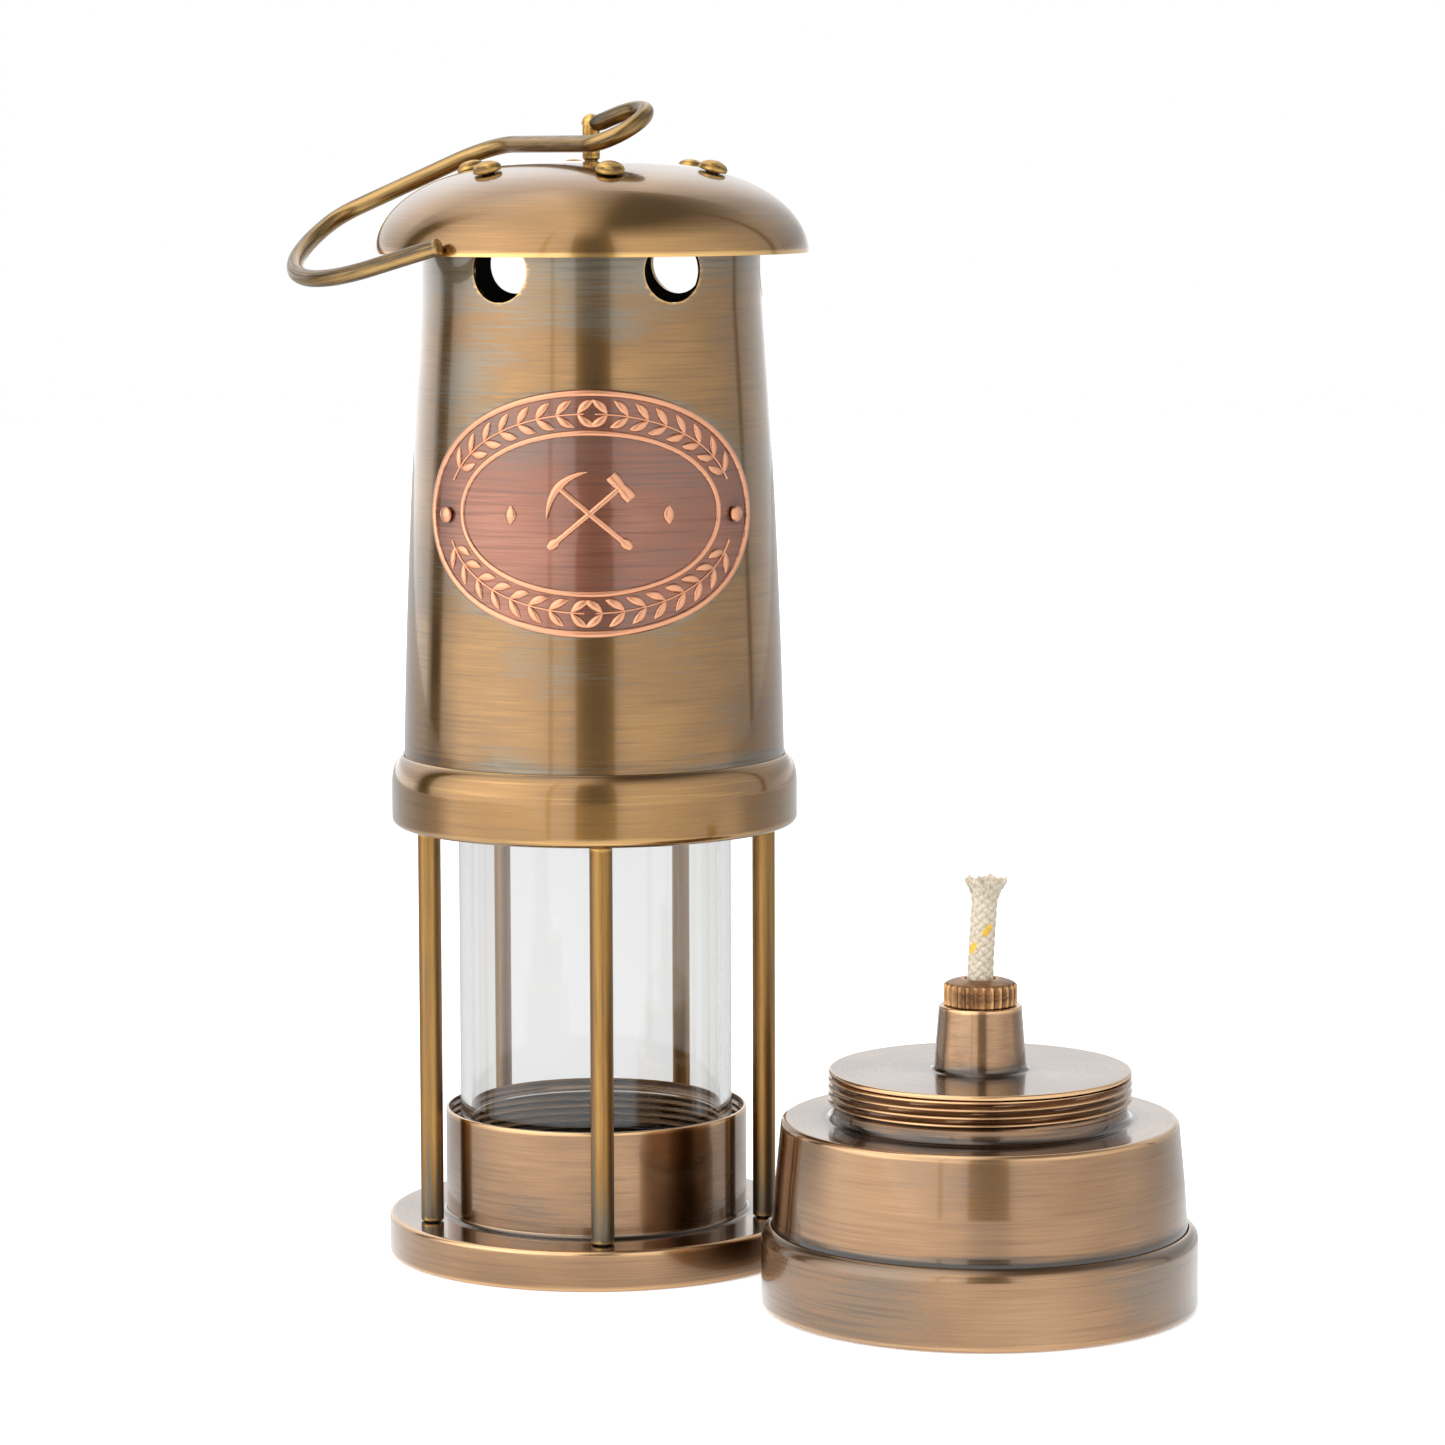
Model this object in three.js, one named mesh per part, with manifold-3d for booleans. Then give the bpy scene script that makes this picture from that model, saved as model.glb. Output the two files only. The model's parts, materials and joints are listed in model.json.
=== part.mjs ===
// Miner's safety lamp with its oil font unscrewed and standing beside it.
// Millimetres, +Z up, floor at z = 0, origin under the middle of the whole group.

import * as THREE from 'three';
import { mergeVertices } from 'three/addons/utils/BufferGeometryUtils.js';
import Module from 'manifold-3d';

const wasm = await Module();
wasm.setup();

// ---------------------------------------------------------------- driving dimensions

const LAMP_AXIS = [-28.4, 25.4];
const FONT_AXIS = [47.7, -26.7];
const GAP = 0.3; // running or resting gap between separate pieces
const ROUND = 36; // facets on the large turned parts
const SMALL = 12; // facets on pillars, rivets and pins

const FLANGE_RADIUS = 42.5;
const FLANGE_HEIGHT = 8.25;
const COLLAR_RADIUS = 30.8;
const COLLAR_BORE = 29.9;
const COLLAR_TOP = 29.8;

const PILLAR_COUNT = 5;
const PILLAR_RADIUS = 2.3;
const PILLAR_CIRCLE = 35.5;
const PILLAR_START = -86.7; // degrees round the lamp axis
const TENON_RADIUS = 1.5;

const CROWN_RADIUS = 41.25;
const CROWN_BOTTOM = 88.3;
const CROWN_TOP = 102.6;
const CROWN_PLATE = 3.0;

const GLASS_RADIUS = 27.8;
const GLASS_BORE = 25.6;
const GLASS_BOTTOM = 27.3;
const GLASS_TOP = 98.0;

const BONNET_FOOT = 91.6;
const BONNET_TOP = 213.0;
const BONNET_FOOT_RADIUS = 38.65;
const BONNET_TOP_RADIUS = 34.4;
const BONNET_WALL = 0.9;
const VENT_COUNT = 6;
const VENT_RADIUS = 6.2;
const VENT_HEIGHT = 201.0;
const VENT_START = -60.75;

const DOME_RADIUS = 44.0;
const DOME_RISE = 18.2;
const DOME_RIM = 204.0;
const DOME_WALL = 1.1;
const DOME_RIVETS = 6;
const DOME_RIVET_CIRCLE = 26.0;
const DOME_RIVET_START = -80.5;

const PLATE_CENTRE = 154.0;
const PLATE_AZIMUTH = -89.4;
const PLATE_HALF_WIDTH = 35.8; // along the curved surface
const PLATE_HALF_HEIGHT = 24.25;
const PLATE_THICKNESS = 0.8;
const PLATE_BEAD = 0.5;
const PLATE_RIVET_HEIGHT = 153.0;
const PLATE_RIVET_SPREAD = 48.2; // degrees either side of the plate's middle

const POST_RADIUS = 1.75;
const POST_TOP = 231.7;
const HOOK_PIVOT = 229.8; // height of the cross hole in the swivel post
const HOOK_TILT = 28.95; // degrees the resting hook slopes down from level
const HOOK_AZIMUTH = -149.0; // direction the resting hook slopes down in
const HOOK_WIRE = 1.7; // wire radius
const HOOK_STUB = 0.85; // radius of the turned end in the cross hole

const BAND_RADIUS = 42.7;
const BAND_HEIGHT = 15.9;
const SHOULDER_HEIGHT = 37.0;
const NECK_RADIUS = 28.7;
const THREAD_RADIUS = 29.8;
const THREAD_PITCH = 1.6;
const FONT_TOP = 46.7;
const CONE_TOP = 59.3;
const CAP_RADIUS = 7.0;
const CAP_FLUTES = 28;
const WICK_RADIUS = 2.6;
const WICK_TOP = 83.5;

// ---------------------------------------------------------------- small tools

const radians = THREE.MathUtils.degToRad;

function metal(color, roughness) {
  return () => new THREE.MeshStandardMaterial({ color, roughness, metalness: 1.0 });
}

const brass = metal(0x8f6d3c, 0.32);
const warmBrass = metal(0xa67f4a, 0.3);
const bronze = metal(0x8c6442, 0.34);
const copper = metal(0xb0694a, 0.36);
const paleBrass = metal(0xb4965a, 0.35);
const glass = () =>
  new THREE.MeshStandardMaterial({ color: 0xdfe3e4, roughness: 0.05, metalness: 0, opacity: 0.3, transparent: true });
const cotton = () => new THREE.MeshStandardMaterial({ color: 0xe9e2cf, roughness: 0.95, metalness: 0 });
const fibre = () => new THREE.MeshStandardMaterial({ color: 0x9a9184, roughness: 0.9, metalness: 0 });

// Points of an elliptical arc in a turned profile, as [radius, height] pairs.
function arc(cr, cz, rr, rz, from, to, steps) {
  return Array.from({ length: steps + 1 }, (_, i) => {
    const angle = radians(from + ((to - from) * i) / steps);
    return [cr + rr * Math.cos(angle), cz + rz * Math.sin(angle)];
  });
}

// Keeps positions only, joins shared vertices, drops empty triangles and turns faces outward.
function tidy(source) {
  const bare = new THREE.BufferGeometry();
  bare.setAttribute('position', source.getAttribute('position'));
  bare.setIndex(source.getIndex());
  const merged = mergeVertices(bare, 1e-4);
  const p = merged.getAttribute('position');
  const index = merged.getIndex().array;
  const corners = [new THREE.Vector3(), new THREE.Vector3(), new THREE.Vector3()];
  const kept = [];
  let volume = 0;
  for (let i = 0; i < index.length; i += 3) {
    const [a, b, c] = [index[i], index[i + 1], index[i + 2]];
    if (a === b || b === c || c === a) continue;
    [a, b, c].forEach((v, k) => corners[k].fromBufferAttribute(p, v));
    volume += corners[0].dot(corners[1].clone().cross(corners[2]));
    kept.push(a, b, c);
  }
  if (volume < 0) {
    for (let i = 0; i < kept.length; i += 3) [kept[i], kept[i + 1]] = [kept[i + 1], kept[i]];
  }
  merged.setIndex(kept);
  return merged;
}

function revolve(profile, facets = ROUND) {
  const points = profile.map(([r, z]) => new THREE.Vector2(r, z));
  return tidy(new THREE.LatheGeometry(points, facets).rotateX(Math.PI / 2));
}

// A turned ring: the outline closes on itself.
function ring(profile, facets = ROUND) {
  return revolve([...profile, profile[0]], facets);
}

function cylinder(radius, low, high, facets = SMALL) {
  return revolve([[0, low], [radius, low], [radius, high], [0, high]], facets);
}

function solid(geometry) {
  const clean = tidy(geometry);
  return new wasm.Manifold(
    new wasm.Mesh({
      numProp: 3,
      vertProperties: new Float32Array(clean.getAttribute('position').array),
      triVerts: new Uint32Array(clean.getIndex().array),
    }),
  );
}

function fromSolid(manifold) {
  const mesh = manifold.getMesh();
  const geometry = new THREE.BufferGeometry();
  geometry.setAttribute('position', new THREE.BufferAttribute(new Float32Array(mesh.vertProperties), 3));
  geometry.setIndex(Array.from(mesh.triVerts));
  return geometry;
}

function cut(geometry, tools) {
  return fromSolid(tools.reduce((body, tool) => body.subtract(solid(tool)), solid(geometry)));
}

function join(...geometries) {
  return fromSolid(geometries.slice(1).reduce((body, other) => body.add(solid(other)), solid(geometries[0])));
}

// Stands a piece made along Z on the circle of the given radius, tipped outward by tilt degrees.
function onCircle(geometry, radius, degrees, height = 0, tilt = 0) {
  return geometry
    .clone()
    .rotateY(radians(tilt))
    .translate(radius, 0, height)
    .rotateZ(radians(degrees));
}

function spread(count, start) {
  return Array.from({ length: count }, (_, i) => start + (360 / count) * i);
}

const group = new THREE.Group();
const lamp = new THREE.Group();
const font = new THREE.Group();
lamp.position.set(...LAMP_AXIS, 0);
font.position.set(...FONT_AXIS, 0);
group.add(lamp, font);

function place(parent, name, geometry, material) {
  geometry.computeVertexNormals();
  const mesh = new THREE.Mesh(geometry, material());
  mesh.name = name;
  parent.add(mesh);
}

// ---------------------------------------------------------------- shared outlines

// Outer radius of the bonnet: a gentle outward-bowed taper, straight near the top.
function bonnetRadius(z) {
  const rise = Math.max(0, z - 103);
  return Math.max(BONNET_TOP_RADIUS, BONNET_FOOT_RADIUS - 0.023 * rise - 0.00026 * rise * rise);
}

// Height of the dome's outer skin, flat over the middle and round at the shoulder.
function domeHeight(r, inset = 0) {
  const reach = Math.min(1, r / (DOME_RADIUS - inset));
  return DOME_RIM + (DOME_RISE - inset * 0.9) * (1 - reach ** 3) ** (1 / 1.85);
}

function domeTilt(r) {
  return THREE.MathUtils.radToDeg(Math.atan(domeHeight(r - 0.5) - domeHeight(r + 0.5)));
}

// ---------------------------------------------------------------- base flange, collar and pillars

const pillarAngles = spread(PILLAR_COUNT, PILLAR_START);
const tenonHole = cylinder(TENON_RADIUS + GAP, -5, 110);
const peenSink = revolve([[0, -1], [3.0, -1], [3.0, 0.3], [TENON_RADIUS + GAP, 1.3], [0, 1.3]], SMALL);

function baseFlange() {
  const edge = 0.8;
  const outline = [
    [COLLAR_RADIUS + GAP, 0],
    ...arc(FLANGE_RADIUS - edge, edge, edge, edge, -90, 0, 2),
    ...arc(FLANGE_RADIUS - edge, FLANGE_HEIGHT - edge, edge, edge, 0, 90, 2),
    [COLLAR_RADIUS + GAP, FLANGE_HEIGHT],
  ];
  const holes = pillarAngles.flatMap((angle) => [
    onCircle(tenonHole, PILLAR_CIRCLE, angle),
    onCircle(peenSink, PILLAR_CIRCLE, angle),
  ]);
  return cut(ring(outline), holes);
}

function threadedCollar() {
  return ring([
    [COLLAR_RADIUS - 0.3, 0.3],
    [COLLAR_RADIUS, 0.6],
    [COLLAR_RADIUS, COLLAR_TOP - 0.3],
    [COLLAR_RADIUS - 0.3, COLLAR_TOP],
    [COLLAR_BORE + 0.2, COLLAR_TOP],
    [COLLAR_BORE, COLLAR_TOP - 0.3],
    [COLLAR_BORE, 0.6],
    [COLLAR_BORE + 0.3, 0.3],
  ]);
}

// One rod with a peened tenon at each end.
function pillar() {
  const foot = FLANGE_HEIGHT + GAP;
  const head = CROWN_BOTTOM - GAP;
  const plateTop = CROWN_BOTTOM + CROWN_PLATE + GAP;
  return revolve(
    [
      [0, 0.2], [2.2, 0.2], [TENON_RADIUS, 1.1],
      [TENON_RADIUS, foot], [PILLAR_RADIUS, foot],
      [PILLAR_RADIUS, head], [TENON_RADIUS, head],
      [TENON_RADIUS, plateTop], [2.0, plateTop], [1.8, plateTop + 0.7], [0, plateTop + 0.9],
    ],
    SMALL,
  );
}

place(lamp, 'base_flange', baseFlange(), bronze);
place(lamp, 'threaded_collar', threadedCollar(), bronze);
pillarAngles.forEach((angle, i) => {
  place(lamp, `pillar_${i + 1}`, onCircle(pillar(), PILLAR_CIRCLE, angle), brass);
});

// ---------------------------------------------------------------- crown and glass

function crownRing() {
  const plateTop = CROWN_BOTTOM + CROWN_PLATE;
  const fillet = 2.0;
  const outline = [
    [GLASS_RADIUS + 0.4, CROWN_BOTTOM],
    ...arc(CROWN_RADIUS - fillet, CROWN_BOTTOM + fillet, fillet, fillet, -90, 0, 3),
    ...arc(CROWN_RADIUS - 3.05, CROWN_TOP - 5.8, 3.05, 6.0, 0, 72, 3),
    [BONNET_FOOT_RADIUS + GAP, CROWN_TOP],
    [BONNET_FOOT_RADIUS + GAP, plateTop],
    [GLASS_RADIUS + 0.4, plateTop],
  ];
  const holes = pillarAngles.map((angle) => onCircle(tenonHole, PILLAR_CIRCLE, angle));
  return cut(ring(outline), holes);
}

function glassChimney() {
  const edge = 1.1;
  const middle = (GLASS_RADIUS + GLASS_BORE) / 2;
  return ring([
    ...arc(middle, GLASS_BOTTOM + edge, edge, edge, 180, 360, 3),
    ...arc(middle, GLASS_TOP - edge, edge, edge, 0, 180, 3),
  ]);
}

function glassRetainingRing() {
  const low = CROWN_BOTTOM + CROWN_PLATE + GAP;
  const seat = GLASS_TOP + 1.6;
  return ring([
    [GLASS_RADIUS + 0.6, low], [31.4, low], [31.4, seat + 1.2], [31.0, seat + 1.6],
    [24.6, seat + 1.6], [24.6, seat], [GLASS_RADIUS + 0.6, seat],
  ]);
}

place(lamp, 'crown_ring', crownRing(), warmBrass);
place(lamp, 'glass_chimney', glassChimney(), glass);
place(
  lamp,
  'glass_gasket',
  ring([[25.0, GLASS_TOP + GAP], [27.9, GLASS_TOP + GAP], [27.9, GLASS_TOP + 1.3], [25.0, GLASS_TOP + 1.3]]),
  fibre,
);
place(lamp, 'glass_retaining_ring', glassRetainingRing(), brass);

// ---------------------------------------------------------------- bonnet, inner cap and dome

const plateRivetAngles = [PLATE_AZIMUTH - PLATE_RIVET_SPREAD, PLATE_AZIMUTH + PLATE_RIVET_SPREAD];
const plateRivetHole = cylinder(1.25, -6, 6);

function onBonnet(geometry, degrees, height) {
  return onCircle(geometry, bonnetRadius(height), degrees, height, 90);
}

function bonnet() {
  const heights = [BONNET_FOOT, 103, 125, 147, 169, 186, 196, BONNET_TOP];
  const outside = heights.map((z) => [bonnetRadius(z), z]);
  const inside = heights.map((z) => [bonnetRadius(z) - BONNET_WALL, z]).reverse();
  const vent = cylinder(VENT_RADIUS, -10, 10, 24);
  return cut(ring([...outside, ...inside]), [
    ...spread(VENT_COUNT, VENT_START).map((angle) => onBonnet(vent, angle, VENT_HEIGHT)),
    ...plateRivetAngles.map((angle) => onBonnet(plateRivetHole, angle, PLATE_RIVET_HEIGHT)),
  ]);
}

const domeRivetAngles = spread(DOME_RIVETS, DOME_RIVET_START);
const domeRivetHole = cylinder(1.3 + GAP, -8, 6);

function onDome(geometry, degrees) {
  const r = DOME_RIVET_CIRCLE;
  return onCircle(geometry, r, degrees, domeHeight(r), domeTilt(r));
}

// Pressed cap that closes the bonnet and carries the dome on the six rivets.
function innerCap() {
  const skirt = bonnetRadius(BONNET_TOP) - BONNET_WALL - GAP;
  const crown = [29.8, 26, 22].map((r) => [r, domeHeight(r, DOME_WALL) - GAP]);
  const outline = [
    [skirt, 208.5],
    [skirt, 212.8],
    ...crown,
    ...crown.reverse().map(([r, z]) => [r - 0.1, z - 1.0]),
    [skirt - 1.1, 212.2],
    [skirt - 1.1, 208.5],
  ];
  return cut(ring(outline), domeRivetAngles.map((angle) => onDome(domeRivetHole, angle)));
}

function dome() {
  const reach = [1.0, 0.985, 0.94, 0.86, 0.74, 0.56, 0.32];
  const hole = 1.65;
  const outside = reach.map((k) => [DOME_RADIUS * k, domeHeight(DOME_RADIUS * k)]);
  const core = DOME_RADIUS - DOME_WALL;
  const inside = reach.map((k) => [core * k, domeHeight(core * k, DOME_WALL)]).reverse();
  const outline = [...outside, [hole, domeHeight(hole)], [hole, domeHeight(hole, DOME_WALL)], ...inside];
  return cut(ring(outline), domeRivetAngles.map((angle) => onDome(domeRivetHole, angle)));
}

// Round head above the skin, shank, and a peened tail below the inner cap.
function domeRivet() {
  return revolve(
    [
      [0, -4.0], [1.9, -4.0], [2.1, -3.2], [1.3, -3.1], [1.3, GAP],
      [2.9, GAP], ...arc(0, 0.6, 2.9, 1.5, 0, 90, 3),
    ],
    SMALL,
  );
}

place(lamp, 'bonnet', bonnet(), brass);
place(lamp, 'bonnet_inner_cap', innerCap(), brass);
place(lamp, 'dome_hood', dome(), warmBrass);
domeRivetAngles.forEach((angle, i) => {
  place(lamp, `dome_rivet_${i + 1}`, onDome(domeRivet(), angle), paleBrass);
});

// ---------------------------------------------------------------- nameplate

// Oval plate bent round the bonnet, with a raised bead along its edge.
function nameplate() {
  const spokes = 36;
  const rings = [0, 0.19, 0.38, 0.57, 0.76, 0.93, 0.95, 0.98, 1.0];
  const lift = (k) => PLATE_THICKNESS + (k > 0.94 && k < 0.99 ? PLATE_BEAD : 0);
  const positions = [];
  const index = [];
  const point = (k, turn, offset) => {
    const z = PLATE_CENTRE + k * PLATE_HALF_HEIGHT * Math.sin(turn);
    const across = (k * PLATE_HALF_WIDTH * Math.cos(turn)) / bonnetRadius(PLATE_CENTRE);
    const angle = radians(PLATE_AZIMUTH) + across;
    const r = bonnetRadius(z) + offset;
    positions.push(r * Math.cos(angle), r * Math.sin(angle), z);
  };
  const layers = [...rings.map((k) => [k, GAP + lift(k)]), ...rings.map((k) => [k, GAP]).reverse()];
  for (const [k, offset] of layers) {
    for (let s = 0; s < spokes; s += 1) point(k, (s / spokes) * 2 * Math.PI, offset);
  }
  for (let layer = 0; layer < layers.length - 1; layer += 1) {
    for (let s = 0; s < spokes; s += 1) {
      const a = layer * spokes + s;
      const b = layer * spokes + ((s + 1) % spokes);
      index.push(a, b, b + spokes, a, b + spokes, a + spokes);
    }
  }
  const geometry = new THREE.BufferGeometry();
  geometry.setAttribute('position', new THREE.BufferAttribute(new Float32Array(positions), 3));
  geometry.setIndex(index);
  return cut(geometry, plateRivetAngles.map((angle) => onBonnet(plateRivetHole, angle, PLATE_RIVET_HEIGHT)));
}

// Head on the plate, shank through plate and bonnet, tail inside the bonnet.
function plateRivet() {
  const seat = PLATE_THICKNESS + 2 * GAP;
  return revolve(
    [
      [0, -2.0], [1.5, -2.0], [1.6, -1.2], [0.95, -1.2], [0.95, seat],
      [1.6, seat], ...arc(0, seat + 0.2, 1.6, 0.8, 0, 90, 3),
    ],
    SMALL,
  );
}

place(lamp, 'nameplate', nameplate(), copper);
plateRivetAngles.forEach((angle, i) => {
  const side = i === 0 ? 'left' : 'right';
  place(lamp, `nameplate_rivet_${side}`, onBonnet(plateRivet(), angle, PLATE_RIVET_HEIGHT), copper);
});

// ---------------------------------------------------------------- swivel post and hook

const pivotDirection = new THREE.Vector3(
  -Math.sin(radians(HOOK_AZIMUTH)),
  Math.cos(radians(HOOK_AZIMUTH)),
  0,
);
const slopeDirection = new THREE.Vector3(
  Math.cos(radians(HOOK_TILT)) * Math.cos(radians(HOOK_AZIMUTH)),
  Math.cos(radians(HOOK_TILT)) * Math.sin(radians(HOOK_AZIMUTH)),
  -Math.sin(radians(HOOK_TILT)),
);

// A round bar along the cross hole's axis, from one distance off the lamp axis to another.
function pivotBar(radius, from, to, facets = 12) {
  const bar = cylinder(radius, from, to, facets);
  const turn = new THREE.Quaternion().setFromUnitVectors(new THREE.Vector3(0, 0, 1), pivotDirection);
  return bar.applyQuaternion(turn).translate(0, 0, HOOK_PIVOT);
}

// Post with a round top, a neck through the dome and a peened end under the washer.
function swivelPost() {
  const seat = DOME_RIM + DOME_RISE + GAP;
  const under = domeHeight(0, DOME_WALL);
  const outline = [
    [0, under - 2.4], [2.3, under - 2.4], [2.6, under - 1.5], [1.35, under - 1.5],
    [1.35, seat], [POST_RADIUS, seat],
    ...arc(0, POST_TOP - 1.4, POST_RADIUS, 1.4, 0, 90, 4),
  ];
  return cut(revolve(outline, 20), [pivotBar(HOOK_STUB + GAP, -4, 4)]);
}

function swivelWasher() {
  const top = domeHeight(0, DOME_WALL) - GAP;
  return ring([[1.65, top - 0.8], [4.2, top - 0.8], [4.2, top], [1.65, top]], 24);
}

// The hook's centre line: straight stretches and bends in its own plane, from the eye to the cut end.
// Each step is a length with no bend, or a bend radius with the degrees it turns.
const HOOK_BENDS = [
  { radius: 2.2, turn: -54 },
  { length: 2.0 },
  { radius: 7.5, turn: 145.5 },
  { radius: 6.54, turn: 88 },
  { length: 30.27 },
  { radius: 15.8, turn: -57.5 },
  { length: 22.0 },
  { radius: 8.8, turn: -51.5 },
  { radius: 31.0, turn: -103.5 },
  { length: 16.0 },
];
const HOOK_START = POST_RADIUS + GAP;

function hookOutline() {
  const path = new THREE.Path();
  let [x, y, heading] = [HOOK_START, 0, 0];
  path.moveTo(x, y);
  for (const { length, radius, turn } of HOOK_BENDS) {
    if (length) {
      [x, y] = [x + length * Math.cos(heading), y + length * Math.sin(heading)];
      path.lineTo(x, y);
      continue;
    }
    const side = Math.sign(turn);
    const from = heading - (side * Math.PI) / 2;
    const [cx, cy] = [x - radius * Math.cos(from), y - radius * Math.sin(from)];
    const to = from + radians(turn);
    path.absarc(cx, cy, radius, from, to, side < 0);
    [x, y, heading] = [cx + radius * Math.cos(to), cy + radius * Math.sin(to), heading + radians(turn)];
  }
  return path;
}

class HookCurve extends THREE.Curve {
  constructor() {
    super();
    this.outline = hookOutline();
  }

  getPoint(t, target = new THREE.Vector3()) {
    const flat = this.outline.getPointAt(t);
    return target
      .set(0, 0, HOOK_PIVOT)
      .addScaledVector(pivotDirection, flat.x)
      .addScaledVector(slopeDirection, flat.y);
  }
}

function hook() {
  const section = new THREE.Shape().absarc(0, 0, HOOK_WIRE, 0, 2 * Math.PI);
  const wire = new THREE.ExtrudeGeometry(section, {
    curveSegments: 5,
    steps: 84,
    extrudePath: new HookCurve(),
  });
  return join(wire, pivotBar(HOOK_STUB, -POST_RADIUS - 0.6, HOOK_START + 0.8));
}

place(lamp, 'swivel_post', swivelPost(), paleBrass);
place(lamp, 'swivel_washer', swivelWasher(), brass);
place(lamp, 'hook', hook(), paleBrass);

// ---------------------------------------------------------------- oil font

function fontBand() {
  const bore = 40.95;
  return ring([
    [bore, 0],
    ...arc(BAND_RADIUS - 1.5, 1.5, 1.5, 1.5, -90, 0, 2),
    [BAND_RADIUS, 8.5],
    ...arc(40.6, BAND_HEIGHT - 2.6, 1.65, 2.6, 0, 75, 3),
    [bore, BAND_HEIGHT],
  ]);
}

// Tapered shell with a flat shoulder; its foot sits inside the band.
function fontShell() {
  const wall = 1.2;
  const mouth = NECK_RADIUS + GAP;
  return ring([
    [40.6 - wall, 1.8], [40.6, 1.8], [40.6, 16.6], [40.45, 17.6],
    ...arc(37.75, SHOULDER_HEIGHT - 1.1, 1.1, 1.1, 5, 90, 2),
    [mouth, SHOULDER_HEIGHT], [mouth, SHOULDER_HEIGHT - wall],
    [37.4, SHOULDER_HEIGHT - wall], [40.45 - wall, 17.6],
  ]);
}

// Neck with its screw thread as ridges, and a lip that hangs it under the shoulder.
function fontNeck() {
  const inner = 26.8;
  const lip = SHOULDER_HEIGHT - 1.2 - GAP;
  const ridges = Array.from({ length: 3 }, (_, i) => 40.7 + i * THREAD_PITCH).flatMap((z) => [
    [THREAD_RADIUS - 0.9, z],
    [THREAD_RADIUS, z + 0.6],
    [THREAD_RADIUS, z + 0.9],
    [THREAD_RADIUS - 0.9, z + 1.5],
  ]);
  return ring([
    [inner, lip - 1.2], [31.0, lip - 1.2], [31.0, lip], [NECK_RADIUS, lip], [NECK_RADIUS, 40.4],
    ...ridges,
    [THREAD_RADIUS - 0.9, 45.4], [inner, 45.4],
  ]);
}

function fontTopPlate() {
  const edge = 0.5;
  const low = 45.4 + GAP;
  const hole = 7.6;
  return ring([
    [hole, low], [THREAD_RADIUS - edge, low],
    ...arc(THREAD_RADIUS - 0.3 - edge, FONT_TOP - edge, edge, edge, 0, 90, 2),
    [hole, FONT_TOP],
  ]);
}

// Boss that the burner cap screws into.
function burnerCone() {
  const bore = 5.5;
  const base = FONT_TOP + GAP;
  return ring(
    [
      [bore, 43.5], [7.3, 43.5], [7.3, base], [10.3, base],
      [9.5, base + 0.5], [9.1, base + 1.3], [8.6, 51.3], [8.05, 58.2],
      [7.9, CONE_TOP - 0.3], [7.5, CONE_TOP], [bore, CONE_TOP],
    ],
    32,
  );
}

// Fluted cap with a screwed spigot below, bored for the wick tube.
function burnerCap() {
  const low = CONE_TOP + GAP;
  const high = 62.7;
  const body = ring(
    [
      [4.0, 54.6], [5.2, 54.6], [5.2, low], [CAP_RADIUS - 0.5, low], [CAP_RADIUS - 0.5, high],
      ...arc(0, high, CAP_RADIUS - 0.5, 1.5, 20, 60, 3),
      [3.0, 64.0], [3.0, 61.6], [4.0, 61.6],
    ],
    24,
  );
  const outline = new THREE.Shape(
    Array.from({ length: 2 * CAP_FLUTES }, (_, i) => {
      const r = i % 2 ? CAP_RADIUS - 0.4 : CAP_RADIUS;
      const angle = (i * Math.PI) / CAP_FLUTES;
      return new THREE.Vector2(r * Math.cos(angle), r * Math.sin(angle));
    }),
  );
  const flutes = new THREE.ExtrudeGeometry(outline, { depth: high - low, bevelEnabled: false });
  const grip = cut(flutes.translate(0, 0, low), [cylinder(5.0, low - 1, high + 1, 24)]);
  return join(body, grip);
}

function wick() {
  return revolve(
    [
      [0, 6], [WICK_RADIUS, 6], [WICK_RADIUS, 76.5], [2.9, 79], [3.5, 81],
      [4.4, WICK_TOP - 0.4], [3.9, WICK_TOP], [0, WICK_TOP - 0.6],
    ],
    SMALL,
  );
}

place(font, 'font_base_plate', cylinder(40.6, 0, 1.5, ROUND), bronze);
place(font, 'font_band', fontBand(), bronze);
place(font, 'font_shell', fontShell(), bronze);
place(font, 'font_neck', fontNeck(), bronze);
place(font, 'font_top_plate', fontTopPlate(), bronze);
place(font, 'burner_cone', burnerCone(), bronze);
place(font, 'burner_cap', burnerCap(), bronze);
place(font, 'wick_tube', ring([[2.95, 50], [3.6, 50], [3.6, 61.2], [2.95, 61.2]], 20), brass);
place(font, 'wick', wick(), cotton);

export default group;
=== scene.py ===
import json
import math
import random

import bmesh
import bpy
import numpy as np
from mathutils import Matrix, Vector


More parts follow.
